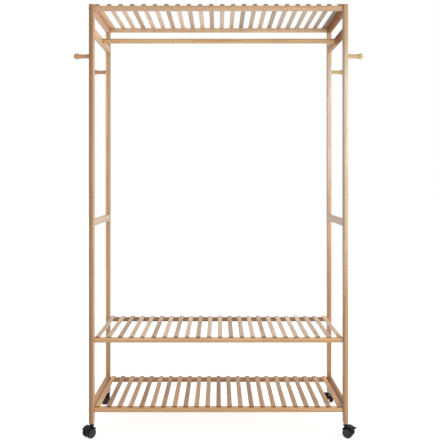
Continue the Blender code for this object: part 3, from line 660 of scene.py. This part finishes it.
def plastic(name, colour, roughness, dust=0.0, tread=None):
    """Moulded nylon with a fine grain, a little flow mottling and dust near the floor.

    tread is the colour of the faces that are marked as a wheel's softer tread.
    """
    surface = Surface(name)
    point = surface.node("ShaderNodeTexCoord").outputs["Object"]
    cloud = surface.noise(point, *CLOUD_NOISE)
    base = surface.mix(cloud, *(tint(colour, share) for share in CLOUD_SHARES))
    least = roughness - CLOUD_ROUGHENING / 2
    rough = surface.math("MULTIPLY_ADD", cloud, CLOUD_ROUGHENING, least)
    if tread:
        marked = surface.face_number("tread")
        base = surface.mix(marked, base, tint(tread))
        rough = surface.math("MULTIPLY_ADD", marked, TREAD_ROUGHENING, rough, clamp=True)
    if dust:
        low = surface.flip(surface.ease(surface.split(point)[Z], *DUST_HEIGHTS))
        scuff = surface.noise(point, *SCUFF_NOISE)
        scuffed = surface.math("MULTIPLY", low, surface.ease(scuff, *SCUFF_LIMITS))
        base = surface.mix(surface.math("MULTIPLY", scuffed, dust), base, tint(DUST_COLOUR))
    surface.give("Base Color", base)
    surface.give("Roughness", rough)
    surface.give("Specular IOR Level", PLASTIC_SPECULAR)
    surface.bump(surface.noise(point, *MOULD_NOISE), *PLASTIC_BUMP)
    return surface.material


def zinc():
    """Bright zinc plating: pale steel with fine scratches and faint clouding."""
    surface = Surface("zinc_steel")
    point = surface.node("ShaderNodeTexCoord").outputs["Object"]
    cloud = surface.noise(point, *ZINC_NOISE)
    scratch_point = surface.vector("MULTIPLY", point, per_axis(X, *SCRATCH_SCALES))
    scratch = surface.noise(scratch_point, roughness=SCRATCH_ROUGHNESS)
    surface.give("Base Color", surface.mix(cloud, *(tint(colour) for colour in ZINC_COLOURS)))
    surface.give("Metallic", 1.0)
    rough = surface.math("MULTIPLY_ADD", scratch, SCRATCH_ROUGHENING, ZINC_ROUGHNESS)
    surface.give("Roughness", rough)
    surface.bump(scratch, *ZINC_BUMP)
    return surface.material


def paint(item, material):
    """Give an object one material."""
    item.data.materials.clear()
    item.data.materials.append(material)


def add_object(name, data):
    """Add an object to the scene."""
    item = bpy.data.objects.new(name, data)
    bpy.context.scene.collection.objects.link(item)
    return item


def piece(name, mesh, material, body, slot, *replaced):
    """Add a finished piece that rides on a body and stands for CAD nodes."""
    item = add_object(name, mesh)
    paint(item, material)
    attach(item, body)
    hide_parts(*replaced)


def finished_mesh(bm, name, flat_area=math.inf):
    """Turn a bmesh into a mesh with smooth rounds and crisp corners.

    Faces of more than four corners are flat, and so are those larger than flat_area.
    """
    bmesh.ops.recalc_face_normals(bm, faces=bm.faces)
    for face in bm.faces:
        face.smooth = len(face.verts) < 5 and face.calc_area() <= flat_area
    mesh = bpy.data.meshes.new(name)
    bm.to_mesh(mesh)
    bm.free()
    mesh.set_sharp_from_angle(angle=math.radians(SMOOTH_DEGREES))
    return mesh


def mark_faces(mesh, name, numbers):
    """Keep a number on each face for its material."""
    layer = mesh.attributes.new(name, "FLOAT", "FACE")
    layer.data.foreach_set("value", np.asarray(numbers, dtype=np.float32))


def side_x(node, side):
    """Where a node ends on X: on its left for a side of -1, and on its right for 1."""
    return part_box(node)[0 if side < 0 else 1].x


def rounded_bar(bm, low, high, width):
    """Add a rectangular bar with rounded edges to a bmesh."""
    centre = (low + high) / 2
    place = Matrix.Translation(centre) @ Matrix.Diagonal((*(high - low), 1))
    made = bmesh.ops.create_cube(bm, size=1, matrix=place)
    edges = {edge for vert in made["verts"] for edge in vert.link_edges}
    bmesh.ops.bevel(
        bm, geom=list(edges), offset=width, segments=ROUND_STEPS, profile=0.5, affect="EDGES"
    )


def bridge(bm, rings):
    """Join rings of vertices one to the next. A ring may be a single vertex."""
    for first, second in zip(rings, rings[1:]):
        for step in range(max(len(first), len(second))):
            after = step + 1
            corners = [first[step % len(first)], first[after % len(first)]]
            corners += [second[after % len(second)], second[step % len(second)]]
            unique = list(dict.fromkeys(corners))
            if len(unique) > 2:
                bm.faces.new(unique)


def skin(bm, rings):
    """Join rings of vertices into a closed solid."""
    bridge(bm, rings)
    bm.faces.new(rings[0])
    bm.faces.new(rings[-1])


def add_slat(bm, left, right, front, back, low, high):
    """Add one slat: its upper long edges rounded over, its other edges just eased."""
    turns = [math.radians(90 * step / ROUND_STEPS) for step in range(ROUND_STEPS + 1)]
    rounds = [(1 - math.cos(turn), 1 - math.sin(turn)) for turn in turns]
    section = [(right - SLAT_ROUND * x, high - SLAT_ROUND * z) for x, z in rounds]
    section += [(left + SLAT_ROUND * x, high - SLAT_ROUND * z) for x, z in reversed(rounds)]
    section += [(left, low + SLAT_EDGE), (left + SLAT_EDGE, low)]
    section += [(right - SLAT_EDGE, low), (right, low + SLAT_EDGE)]
    centre_x, centre_z = (left + right) / 2, (low + high) / 2
    ends = ((front, SLAT_EDGE), (front + SLAT_EDGE, 0), (back - SLAT_EDGE, 0), (back, SLAT_EDGE))
    rings = []
    for y, inset in ends:
        ring = []
        for x, z in section:
            dx = math.copysign(min(inset, abs(x - centre_x)), centre_x - x)
            dz = math.copysign(min(inset, abs(z - centre_z)), centre_z - z)
            ring.append(bm.verts.new((x + dx, y, z + dz)))
        rings.append(ring)
    skin(bm, rings)


def lathe(bm, profile, centre, axis, sides):
    """Add a turned solid.

    profile is a list of radius and place along the axis, from end to end. A third value of True
    makes a ring six-sided, with that radius to the middle of each side.
    """
    turn = Vector((0, 0, 1)).rotation_difference(Vector(axis)).to_matrix()
    centre = Vector(centre)
    rings = []
    for radius, along, *six_sided in profile:
        if radius == 0:
            rings.append([bm.verts.new(centre + turn @ Vector((0, 0, along)))])
            continue
        ring = []
        for step in range(sides):
            angle = 2 * math.pi * step / sides
            reach = radius
            if six_sided:
                reach /= math.cos(angle % HEX_TURN - HEX_TURN / 2)
            spot = Vector((reach * math.cos(angle), reach * math.sin(angle), along))
            ring.append(bm.verts.new(centre + turn @ spot))
        rings.append(ring)
    bridge(bm, rings)


def arc(radius, start, end, steps, centre=(0, 0)):
    """Points on an arc, its angles in degrees."""
    points = []
    for step in range(steps + 1):
        angle = math.radians(start + (end - start) * step / steps)
        points.append((centre[0] + radius * math.cos(angle), centre[1] + radius * math.sin(angle)))
    return points


def neighbours(points):
    """Each point of a closed outline, between the one before it and the one after it."""
    return zip([points[-1], *points[:-1]], points, [*points[1:], points[0]])


def soften(outline, radius):
    """Round the corners of a closed outline."""
    softened = []
    for before, corner, after in neighbours([Vector(point) for point in outline]):
        back, forth = before - corner, after - corner
        if back.angle(forth, math.pi) > math.radians(STRAIGHT_DEGREES):
            softened.append(corner)
            continue
        start, end = (
            corner + arm.normalized() * min(radius, arm.length * SOFTEN_SHARE)
            for arm in (back, forth)
        )
        for step in range(SOFTEN_STEPS + 1):
            share = step / SOFTEN_STEPS
            softened.append(start.lerp(corner, share).lerp(corner.lerp(end, share), share))
    return softened


def plate(bm, outline, low, high, ease, place):
    """Add a plate with eased edges: an outline in a caster's own YZ plane, from low to high X."""
    points = [Vector(point) for point in outline]
    area = sum(point.x * after.y - after.x * point.y for _, point, after in neighbours(points))
    inward = []
    for before, point, after in neighbours(points):
        along = (point - before).normalized() + (after - point).normalized()
        normal = Vector((-along.y, along.x)).normalized()
        inward.append(normal if area > 0 else -normal)
    rings = []
    for side, edge in ((1, low), (-1, high)):
        turns = [math.radians(90 * step / EASE_STEPS) for step in range(EASE_STEPS + 1)]
        for turn in turns[::side]:
            x = edge + side * ease * (1 - math.cos(turn))
            inset = ease * (1 - math.sin(turn))
            ring = [point + normal * inset for point, normal in zip(points, inward)]
            rings.append([bm.verts.new(place @ Vector((x, spot.x, spot.y))) for spot in ring])
    skin(bm, rings)


def turned(name, profile, centre, axis, sides):
    """The finished mesh of a turned solid."""
    bm = bmesh.new()
    lathe(bm, profile, centre, axis, sides)
    return finished_mesh(bm, name)


def ring_part(inner, outer, start, end, steps, centre):
    """The outline of part of a flat ring, its angles in degrees."""
    return arc(outer, start, end, steps, centre) + arc(inner, end, start, steps, centre)


def make_posts():
    """Bamboo for the four posts, each with its own tone."""
    for seed, (place, tone) in enumerate(POST_TONES.items(), POST_SEED):
        node = f"post_{place}"
        material = bamboo(
            node, Z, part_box(node), tone, POST_STRIPS, seed,
            shade_lean=POST_SHADE_LEANS[place], painted_flank=POST_PAINTED_FLANKS[place],
        )
        paint(NODES[node], material)


def make_side_rails():
    """Bamboo for the side rails."""
    for seed, (place, look) in enumerate(SIDE_RAILS.items(), SIDE_RAIL_SEED):
        tone, inner, outer, lacquer = look
        node = f"side_rail_{place}"
        # The inner side of a rail gets its painted light or shade, on whichever side of X faces
        # inwards
        shade_lean = (X, outer, inner) if place.endswith("left") else (X, inner, outer)
        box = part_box(node)
        material = bamboo(node, Y, box, tone, BAR_STRIPS, seed, shade_lean=shade_lean, lacquer=lacquer)
        paint(NODES[node], material)


def slat_edges(deck, top):
    """The left and right edge of each slat of a deck, and the ends of the slats."""
    vertices = [vert.co for vert in NODES[deck].data.vertices if vert.co.z > top - SLAT_EDGE]
    xs = sorted({round(vert.x, EDGE_DECIMALS) for vert in vertices})
    edges = [(left - SLAT_ROUND, right + SLAT_ROUND) for left, right in zip(xs[::2], xs[1::2])]
    ys = [vert.y for vert in vertices]
    return edges, min(ys), max(ys)


def make_rear_rail(level, low, high, seed):
    """The rear rail of a deck, its edges rounded."""
    name = f"deck_rail_{level}"
    bm = bmesh.new()
    rounded_bar(bm, low, high, RAIL_ROUND)
    mesh = finished_mesh(bm, name, FLAT_AREA)
    material = bamboo(name, X, (low, high), REAR_RAIL_TONES[level], BAR_STRIPS, seed)
    piece(name, mesh, material, "frame", "bamboo_rail", f"slat_deck_{level}")


def make_slats(level, slat_low, seed):
    """The slats of a deck, each with a grain of its own."""
    name, deck = f"slats_{level}", f"slat_deck_{level}"
    low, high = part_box(deck)
    edges, front, back = slat_edges(deck, high.z)
    if level == "top":
        edges[0] = (side_x("side_rail_top_left", 1) + SLAT_SEAT, edges[0][1])
        edges[-1] = (edges[-1][0], side_x("side_rail_top_right", -1) - SLAT_SEAT)
    # The first and the last slat get painted light or shade, paler or darker than the rest
    lights = [0.0] * len(edges)
    lights[0], lights[-1] = END_SLAT_PAINTED_LIGHTS[level]
    bm = bmesh.new()
    seeds, painted_face_lights = [], []
    for slat, (left, right) in enumerate(edges):
        before = len(bm.faces)
        add_slat(bm, left, right, front, back, slat_low, high.z)
        count = len(bm.faces) - before
        seeds += [slat + 1.0] * count
        painted_face_lights += [lights[slat]] * count
    mesh = finished_mesh(bm, name, FLAT_AREA)
    mark_faces(mesh, "piece_seed", seeds)
    mark_faces(mesh, "painted_light", painted_face_lights)
    box = (Vector((low.x, front, slat_low)), high)
    tone, shade_lean = SLAT_TONES[level], SLAT_SHADE_LEANS[level]
    material = bamboo(name, Y, box, tone, UNDIVIDED, seed, SLAT_SPREAD, shade_lean=shade_lean)
    piece(name, mesh, material, "frame", "bamboo_slat", deck)


def make_shelves():
    """Bamboo for the front rails, and fine slats and rear rails for the decks."""
    for index, level in enumerate(LEVELS):
        rail = f"shelf_rail_{level}_front"
        front_low, front_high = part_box(rail)
        material = bamboo(
            rail, X, (front_low, front_high), FRONT_RAIL_TONES[level], BAR_STRIPS,
            FRONT_RAIL_SEED + index, shade_lean=FRONT_RAIL_SHADE_LEANS[level],
        )
        paint(NODES[rail], material)

        low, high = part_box(f"slat_deck_{level}")
        slat_low = front_high.z
        rail_low = Vector((low.x, high.y - (front_high.y - front_low.y), low.z))
        rail_high = Vector((high.x, high.y, slat_low + SLAT_SEAT))
        make_rear_rail(level, rail_low, rail_high, REAR_RAIL_SEED + index)
        make_slats(level, slat_low, SLAT_SEED + index)


def make_rod():
    """The hanging rod, turned from laminated bamboo."""
    low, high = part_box("hanging_rod")
    radius = (high.z - low.z) / 2
    half = (high.x - low.x) / 2
    ease = radius / ROD_RADIUS_IN_EASES
    profile = [(0, -half), (radius - ease, -half), (radius, ease - half)]
    profile += [(radius, half - ease), (radius - ease, half), (0, half)]
    mesh = turned("rod_turned", profile, (low + high) / 2, (1, 0, 0), ROD_SIDES)
    box = (low, high)
    material = bamboo("rod", X, box, ROD_TONE, BAR_STRIPS, ROD_SEED, *ROD_SPREADS, ROD_SHADE_LEAN)
    piece("rod_turned", mesh, material, "frame", "bamboo_rod", "hanging_rod")


def make_pegs():
    """The four coat pegs, turned with a round knob, a waisted neck and a small collar."""
    for end in ENDS:
        for side, across in SIDES.items():
            node = f"peg_{end}_{side}"
            low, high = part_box(node)
            centre = (low + high) / 2
            face = abs(side_x(f"post_{end}_{side}", across))
            back, tip = (reach - face for reach in sorted((abs(low.x), abs(high.x))))
            knob = (high.z - low.z) / 2
            collar = knob * PEG_COLLAR_SHARE
            outline = arc(knob, *PEG_KNOB_ARC, (tip - knob, 0))
            profile = [(0, tip)] + [(reach, along) for along, reach in outline[1:]]
            profile += [(knob * thick, tip * along) for along, thick in PEG_NECK]
            profile += [(collar, 2 * PEG_SEAT), (collar * PEG_FOOT_SHARE, PEG_SEAT)]
            profile += [(PEG_SPIGOT_RADIUS, PEG_SEAT), (PEG_SPIGOT_RADIUS, back), (0, back)]
            name = f"turned_{node}"
            place = (across * face, centre.y, centre.z)
            mesh = turned(name, profile, place, (across, 0, 0), PEG_SIDES)
            material = bamboo(
                node, X, (low, high), PEG_TONES[side], BAR_STRIPS,
                PEG_SEED + 2 * ENDS[end] + across, *PEG_SPREADS, PEG_SHADE_LEAN, coat=PEG_COAT,
            )
            piece(name, mesh, material, "frame", "turned_peg", node)


def make_fasteners(steel):
    """Bolts and rod screws with domed heads and hexagonal sockets."""
    for node in NODES:
        if not node.startswith(FASTENERS):
            continue
        low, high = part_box(node)
        across = 1 if low.x + high.x > 0 else -1
        head = (high.z - low.z) / 2
        tip, outer = sorted((abs(low.x), abs(high.x)))
        centre_y, centre_z = (low.y + high.y) / 2, (low.z + high.z) / 2
        spots = [
            (abs(vert.co.x), math.hypot(vert.co.y - centre_y, vert.co.z - centre_z))
            for vert in NODES[node].data.vertices
        ]
        seat = min(x for x, reach in spots if reach > head * RIM_SHARE)
        height = outer - seat
        shank = min(reach for x, reach in spots if x < seat - height)
        length = seat - tip
        socket = head * SOCKET_SHARE * math.cos(HEX_TURN / 2)
        depth = height * SOCKET_DEPTH_SHARE
        profile = [(0, height - depth * SOCKET_POINT_SHARE), (socket, height - depth, True)]
        profile += [(socket, height - SOCKET_EASE, True)]
        profile += [(socket * SOCKET_MOUTH_SHARE, height, True), (head * HEAD_FLAT_SHARE, height)]
        for step in range(1, DOME_STEPS + 1):
            turn = math.radians(90 * step / DOME_STEPS)
            reach = head * (HEAD_FLAT_SHARE + (1 - HEAD_FLAT_SHARE) * math.sin(turn))
            along = height * (HEAD_SIDE_SHARE + (1 - HEAD_SIDE_SHARE) * math.cos(turn))
            profile.append((reach, along))
        profile += [(head, HEAD_EASE), (head - HEAD_EASE, 0), (shank, 0)]
        profile += [(shank, SHANK_POINT - length), (shank * SHANK_POINT_SHARE, -length)]
        profile.append((0, -length))
        name = f"fine_{node}"
        place = (across * seat, centre_y, centre_z)
        mesh = turned(name, profile, place, (across, 0, 0), FASTENER_SIDES)
        piece(name, mesh, steel, "frame", "zinc_steel", node)


def make_stem(place, steel):
    """A caster's stem: a rolled thread above a collar, and a plain journal below it."""
    node = f"caster_stem_{place}"
    low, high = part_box(node)
    centre = (low + high) / 2
    collar = (high.x - low.x) / 2
    collar_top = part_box(f"post_{place}")[0].z - STEM_CLEARANCE
    collar_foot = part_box(f"caster_hood_{place}")[1].z + STEM_CLEARANCE
    radius = collar * STEM_RADIUS_SHARE
    core = radius - THREAD_DEPTH
    profile = [(0, high.z), (core, high.z)]
    along = high.z - THREAD_PITCH / 2
    while along > collar_top + THREAD_PITCH:
        profile += [(radius, along), (core, along - THREAD_PITCH / 2)]
        along -= THREAD_PITCH
    rim = collar - STEM_COLLAR_EASE
    profile += [(core, collar_top), (rim, collar_top), (collar, collar_top - STEM_COLLAR_EASE)]
    profile += [(collar, collar_foot + STEM_COLLAR_EASE), (rim, collar_foot), (radius, collar_foot)]
    profile += [(radius, low.z + STEM_TIP_EASE), (radius - STEM_TIP_EASE, low.z), (0, low.z)]
    name = f"fine_{node}"
    mesh = turned(name, profile, (centre.x, centre.y, 0), (0, 0, 1), FASTENER_SIDES)
    piece(name, mesh, steel, "frame", "zinc_steel", node)


def make_wheel(node, hub, outward, radius, width, material):
    """A moulded wheel: a dished outer face round its hub, a crowned tread and a blind bore."""
    half = width / 2
    profile = [(reach, half - depth) for reach, depth in WHEEL_FACE]
    shoulder = (radius - WHEEL_SHOULDER, half - WHEEL_SHOULDER)
    profile += arc(WHEEL_SHOULDER, *WHEEL_SHOULDER_ARC, shoulder)[:-1]
    profile += [(radius - WHEEL_CROWN, half - WHEEL_SHOULDER), (radius, 0)]
    corner = (radius - WHEEL_INNER_ROUND, WHEEL_INNER_ROUND - half)
    profile += arc(WHEEL_INNER_ROUND, *WHEEL_INNER_ARC, corner)
    profile += [(WHEEL_BORE_RADIUS + WHEEL_EASE, -half), (WHEEL_BORE_RADIUS, WHEEL_EASE - half)]
    profile += [(WHEEL_BORE_RADIUS, WHEEL_BORE_DEPTH - half), (0, WHEEL_BORE_DEPTH - half)]
    name = f"fine_{node}"
    mesh = turned(name, profile, hub, outward, WHEEL_SIDES)
    marks = []
    for face in mesh.polygons:
        arm = face.center - hub
        marks.append(float((arm - outward * arm.dot(outward)).length > TREAD_INNER_RADIUS))
    mark_faces(mesh, "tread", marks)
    piece(name, mesh, material, node, "wheel_plastic", node)


def make_hood(place, matrix, trail, radius, pivot, material):
    """A caster's hood: fender, web and stem boss, and knuckles where a pedal has its pivot."""
    node = f"caster_hood_{place}"
    centre = (trail, radius)
    inner = radius + HOOD_GAP
    outer = inner + HOOD_THICKNESS
    start = SLOT_DEGREES if pivot else HOOD_REAR_DEGREES
    bm = bmesh.new()
    fender = ring_part(inner, outer, start, HOOD_FRONT_DEGREES, ARC_STEPS, centre)
    plate(bm, soften(fender, HOOD_ROUND), -HOOD_HALF_WIDTH, HOOD_HALF_WIDTH, HOOD_EASE, matrix)
    web = arc(inner + WEB_BITE, start, WEB_NOSE_DEGREES, ARC_STEPS, centre)
    web += arc(AXLE_BOSS_RADIUS, *AXLE_BOSS_ARC, centre)
    if pivot:
        web += arc(SLOT_FLOOR_RADIUS, HOOD_REAR_DEGREES, SLOT_DEGREES, SLOT_STEPS, centre)
        end = SLOT_DEGREES + PRONG_BITE_DEGREES
        prong = ring_part(inner, outer, HOOD_REAR_DEGREES, end, PRONG_STEPS, centre)
        knuckle = arc(KNUCKLE_RADIUS, 0, 360, KNUCKLE_SIDES, pivot)[:-1]
        for low, high in ((-HOOD_HALF_WIDTH, -SLOT_HALF_WIDTH), (SLOT_HALF_WIDTH, HOOD_HALF_WIDTH)):
            plate(bm, soften(prong, HOOD_ROUND), low, high, HOOD_EASE / 2, matrix)
            inset = HOOD_EASE if low < 0 else 0
            plate(bm, knuckle, low + inset, high - (HOOD_EASE - inset), HOOD_EASE / 2, matrix)
    plate(bm, soften(web, WEB_ROUND), -WEB_HALF_WIDTH, WEB_HALF_WIDTH, WEB_EASE, matrix)

    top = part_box(node)[1].z
    crest = radius + outer
    foot = radius + math.sqrt(inner ** 2 - (trail - STEM_BOSS_RADIUS) ** 2) + STEM_BOSS_BITE
    profile = [(0, foot), (STEM_BOSS_RADIUS, foot)]
    profile += [(STEM_BOSS_RADIUS * share, crest + rise) for share, rise in STEM_BOSS_FLARES]
    profile += [(STEM_BOSS_RADIUS - inset, top - drop) for inset, drop in STEM_BOSS_CROWN]
    recess = top - STEM_RECESS_DEPTH
    profile += [(STEM_RECESS_RADIUS, top), (STEM_RECESS_RADIUS, recess), (0, recess)]
    lathe(bm, profile, matrix @ Vector((0, 0, 0)), (0, 0, 1), FASTENER_SIDES)
    name = f"fine_{node}"
    piece(name, finished_mesh(bm, name), material, f"caster_{place}", "hood_plastic", node)


def make_pedal(place, matrix, pivot, material):
    """A brake pedal: a barrel on two stub axles, a lobe for the wheels and a ribbed tread plate."""
    node = f"brake_pedal_{place}"
    half = PEDAL_THICKNESS / 2
    root = math.degrees(math.asin(half / PEDAL_BARREL_RADIUS))
    before, lobe, after = PEDAL_LOBE_DEGREES
    outline = [(PEDAL_LENGTH, -half), (PEDAL_LENGTH, half)]
    for along in reversed(PEDAL_RIBS):
        for step, rise in ((PEDAL_RIB_SIZE, 0), (0, PEDAL_RIB_SIZE), (-PEDAL_RIB_SIZE, 0)):
            outline.append((along + step, half + rise))
    outline += arc(PEDAL_BARREL_RADIUS, root, before, PEDAL_BARREL_STEPS)
    outline.append(arc(PEDAL_LOBE_REACH, lobe, lobe, 1)[0])
    outline += arc(PEDAL_BARREL_RADIUS, after, 360 - root, PEDAL_BARREL_STEPS)
    rest = Matrix.Rotation(math.radians(PEDAL_REST_DEGREES), 2)
    tilted = [rest @ Vector(point) + Vector(pivot) for point in soften(outline, PEDAL_ROUND)]
    bm = bmesh.new()
    plate(bm, tilted, -PEDAL_HALF_WIDTH, PEDAL_HALF_WIDTH, PEDAL_EASE, matrix)
    reach = PEDAL_HALF_WIDTH + TRUNNION_LENGTH
    profile = [(0, -reach), (TRUNNION_RADIUS, -reach), (TRUNNION_RADIUS, reach), (0, reach)]
    axis = matrix.to_3x3() @ Vector((1, 0, 0))
    lathe(bm, profile, matrix @ Vector((0, *pivot)), axis, FASTENER_SIDES)
    name = f"fine_{node}"
    piece(name, finished_mesh(bm, name), material, f"brake_{place}", "pedal_plastic", node)


def make_casters(steel):
    """Fine forms for the four casters, placed by their joints."""
    hood_plastic = plastic("hood_plastic", *HOOD_PLASTIC)
    wheel_plastic = plastic("wheel_plastic", *WHEEL_PLASTIC)
    pedal_plastic = plastic("pedal_plastic", *PEDAL_PLASTIC)
    for end in ENDS:
        for side in SIDES:
            place = f"{end}_{side}"
            stem = Vector(JOINTS[f"swivel_{place}"]["pos_m"])
            hubs = {hand: Vector(JOINTS[f"spin_{place}_{hand}"]["pos_m"]) for hand in SIDES}
            across = (hubs["right"] - hubs["left"]).normalized()
            behind = Vector((-across.y, across.x, 0))
            middle = (hubs["left"] + hubs["right"]) / 2
            trail = (middle - stem).dot(behind)
            radius = middle.z
            matrix = Matrix((across, behind, (0, 0, 1))).transposed().to_4x4()
            matrix.translation = Vector((stem.x, stem.y, 0))
            for hand, way in SIDES.items():
                node = f"wheel_{place}_{hand}"
                hub = hubs[hand]
                spots = [(vert.co - hub).dot(across) for vert in NODES[node].data.vertices]
                width = max(spots) - min(spots)
                make_wheel(node, hub, across * way, radius, width, wheel_plastic)
            brake = JOINTS.get(f"brake_press_{place}")
            pivot = None
            if brake:
                spot = matrix.inverted() @ Vector(brake["pos_m"])
                pivot = (spot.y, spot.z)
                make_pedal(place, matrix, pivot, pedal_plastic)
            make_hood(place, matrix, trail, radius, pivot, hood_plastic)
            make_stem(place, steel)
            paint(NODES[f"caster_axle_{place}"], steel)


def make_floor():
    """A wide pale floor that meets the white surround."""
    bm = bmesh.new()
    bmesh.ops.create_grid(bm, x_segments=1, y_segments=1, size=FLOOR_HALF_SIZE)
    mesh = bpy.data.meshes.new("floor")
    bm.to_mesh(mesh)
    bm.free()
    floor = add_object("floor", mesh)
    surface = Surface("floor_paint")
    surface.tree.nodes.remove(surface.shader)
    diffuse = surface.node("ShaderNodeBsdfDiffuse")
    surface.feed(diffuse.inputs["Color"], tint(FLOOR_TONE))
    glow = surface.node("ShaderNodeEmission")
    strength = surface.math("MULTIPLY", surface.background_rays(), FLOOR_GLOW)
    surface.feed(glow.inputs["Strength"], strength)
    both = surface.run(surface.node("ShaderNodeAddShader"), diffuse.outputs[0], glow.outputs[0])
    surface.feed(surface.tree.nodes["Material Output"].inputs["Surface"], both)
    paint(floor, surface.material)


def make_surround():
    """A white world that lights the rack less brightly than it shows."""
    world = bpy.data.worlds.new("studio")
    bpy.context.scene.world = world
    world.use_nodes = True
    surround = Nodes(world.node_tree)
    background = surround.tree.nodes["Background"]
    strength = surround.node("ShaderNodeMapRange")
    surround.feed(strength.inputs["To Min"], WORLD_STRENGTH)
    surround.feed(strength.inputs["Value"], surround.background_rays())
    surround.feed(background.inputs["Strength"], strength.outputs[0])
    surround.feed(background.inputs["Color"], tint(1.0))


def add_lamp(name, place, aim, size, watts):
    """A soft rectangular lamp that looks at a point."""
    lamp = bpy.data.lights.new(name, "AREA")
    lamp.shape = "RECTANGLE"
    lamp.size, lamp.size_y = size
    lamp.energy = watts
    item = add_object(name, lamp)
    item.location = place
    item.rotation_euler = (Vector(aim) - Vector(place)).to_track_quat("-Z", "Y").to_euler()


def make_camera():
    """The photograph's camera: level, in front of the rack, with its frame shifted down."""
    camera = bpy.data.cameras.new("camera")
    camera.sensor_width = SENSOR_MM
    camera.lens = SENSOR_MM * FOCAL_PIXELS / IMAGE_PIXELS
    camera.shift_x = (IMAGE_PIXELS / 2 - VANISHING_COLUMN) / IMAGE_PIXELS
    camera.shift_y = (HORIZON_ROW - IMAGE_PIXELS / 2) / IMAGE_PIXELS
    item = add_object("camera", camera)
    item.location = CAMERA_PLACE
    item.rotation_euler = (math.radians(90), 0, 0)
    bpy.context.scene.camera = item
    bpy.context.scene.view_settings.view_transform = "Standard"


make_camera()
make_floor()
make_surround()
for lamp_name, settings in LAMPS.items():
    add_lamp(lamp_name, *settings)
make_posts()
make_side_rails()
make_shelves()
make_rod()
make_pegs()
zinc_steel = zinc()
make_fasteners(zinc_steel)
make_casters(zinc_steel)
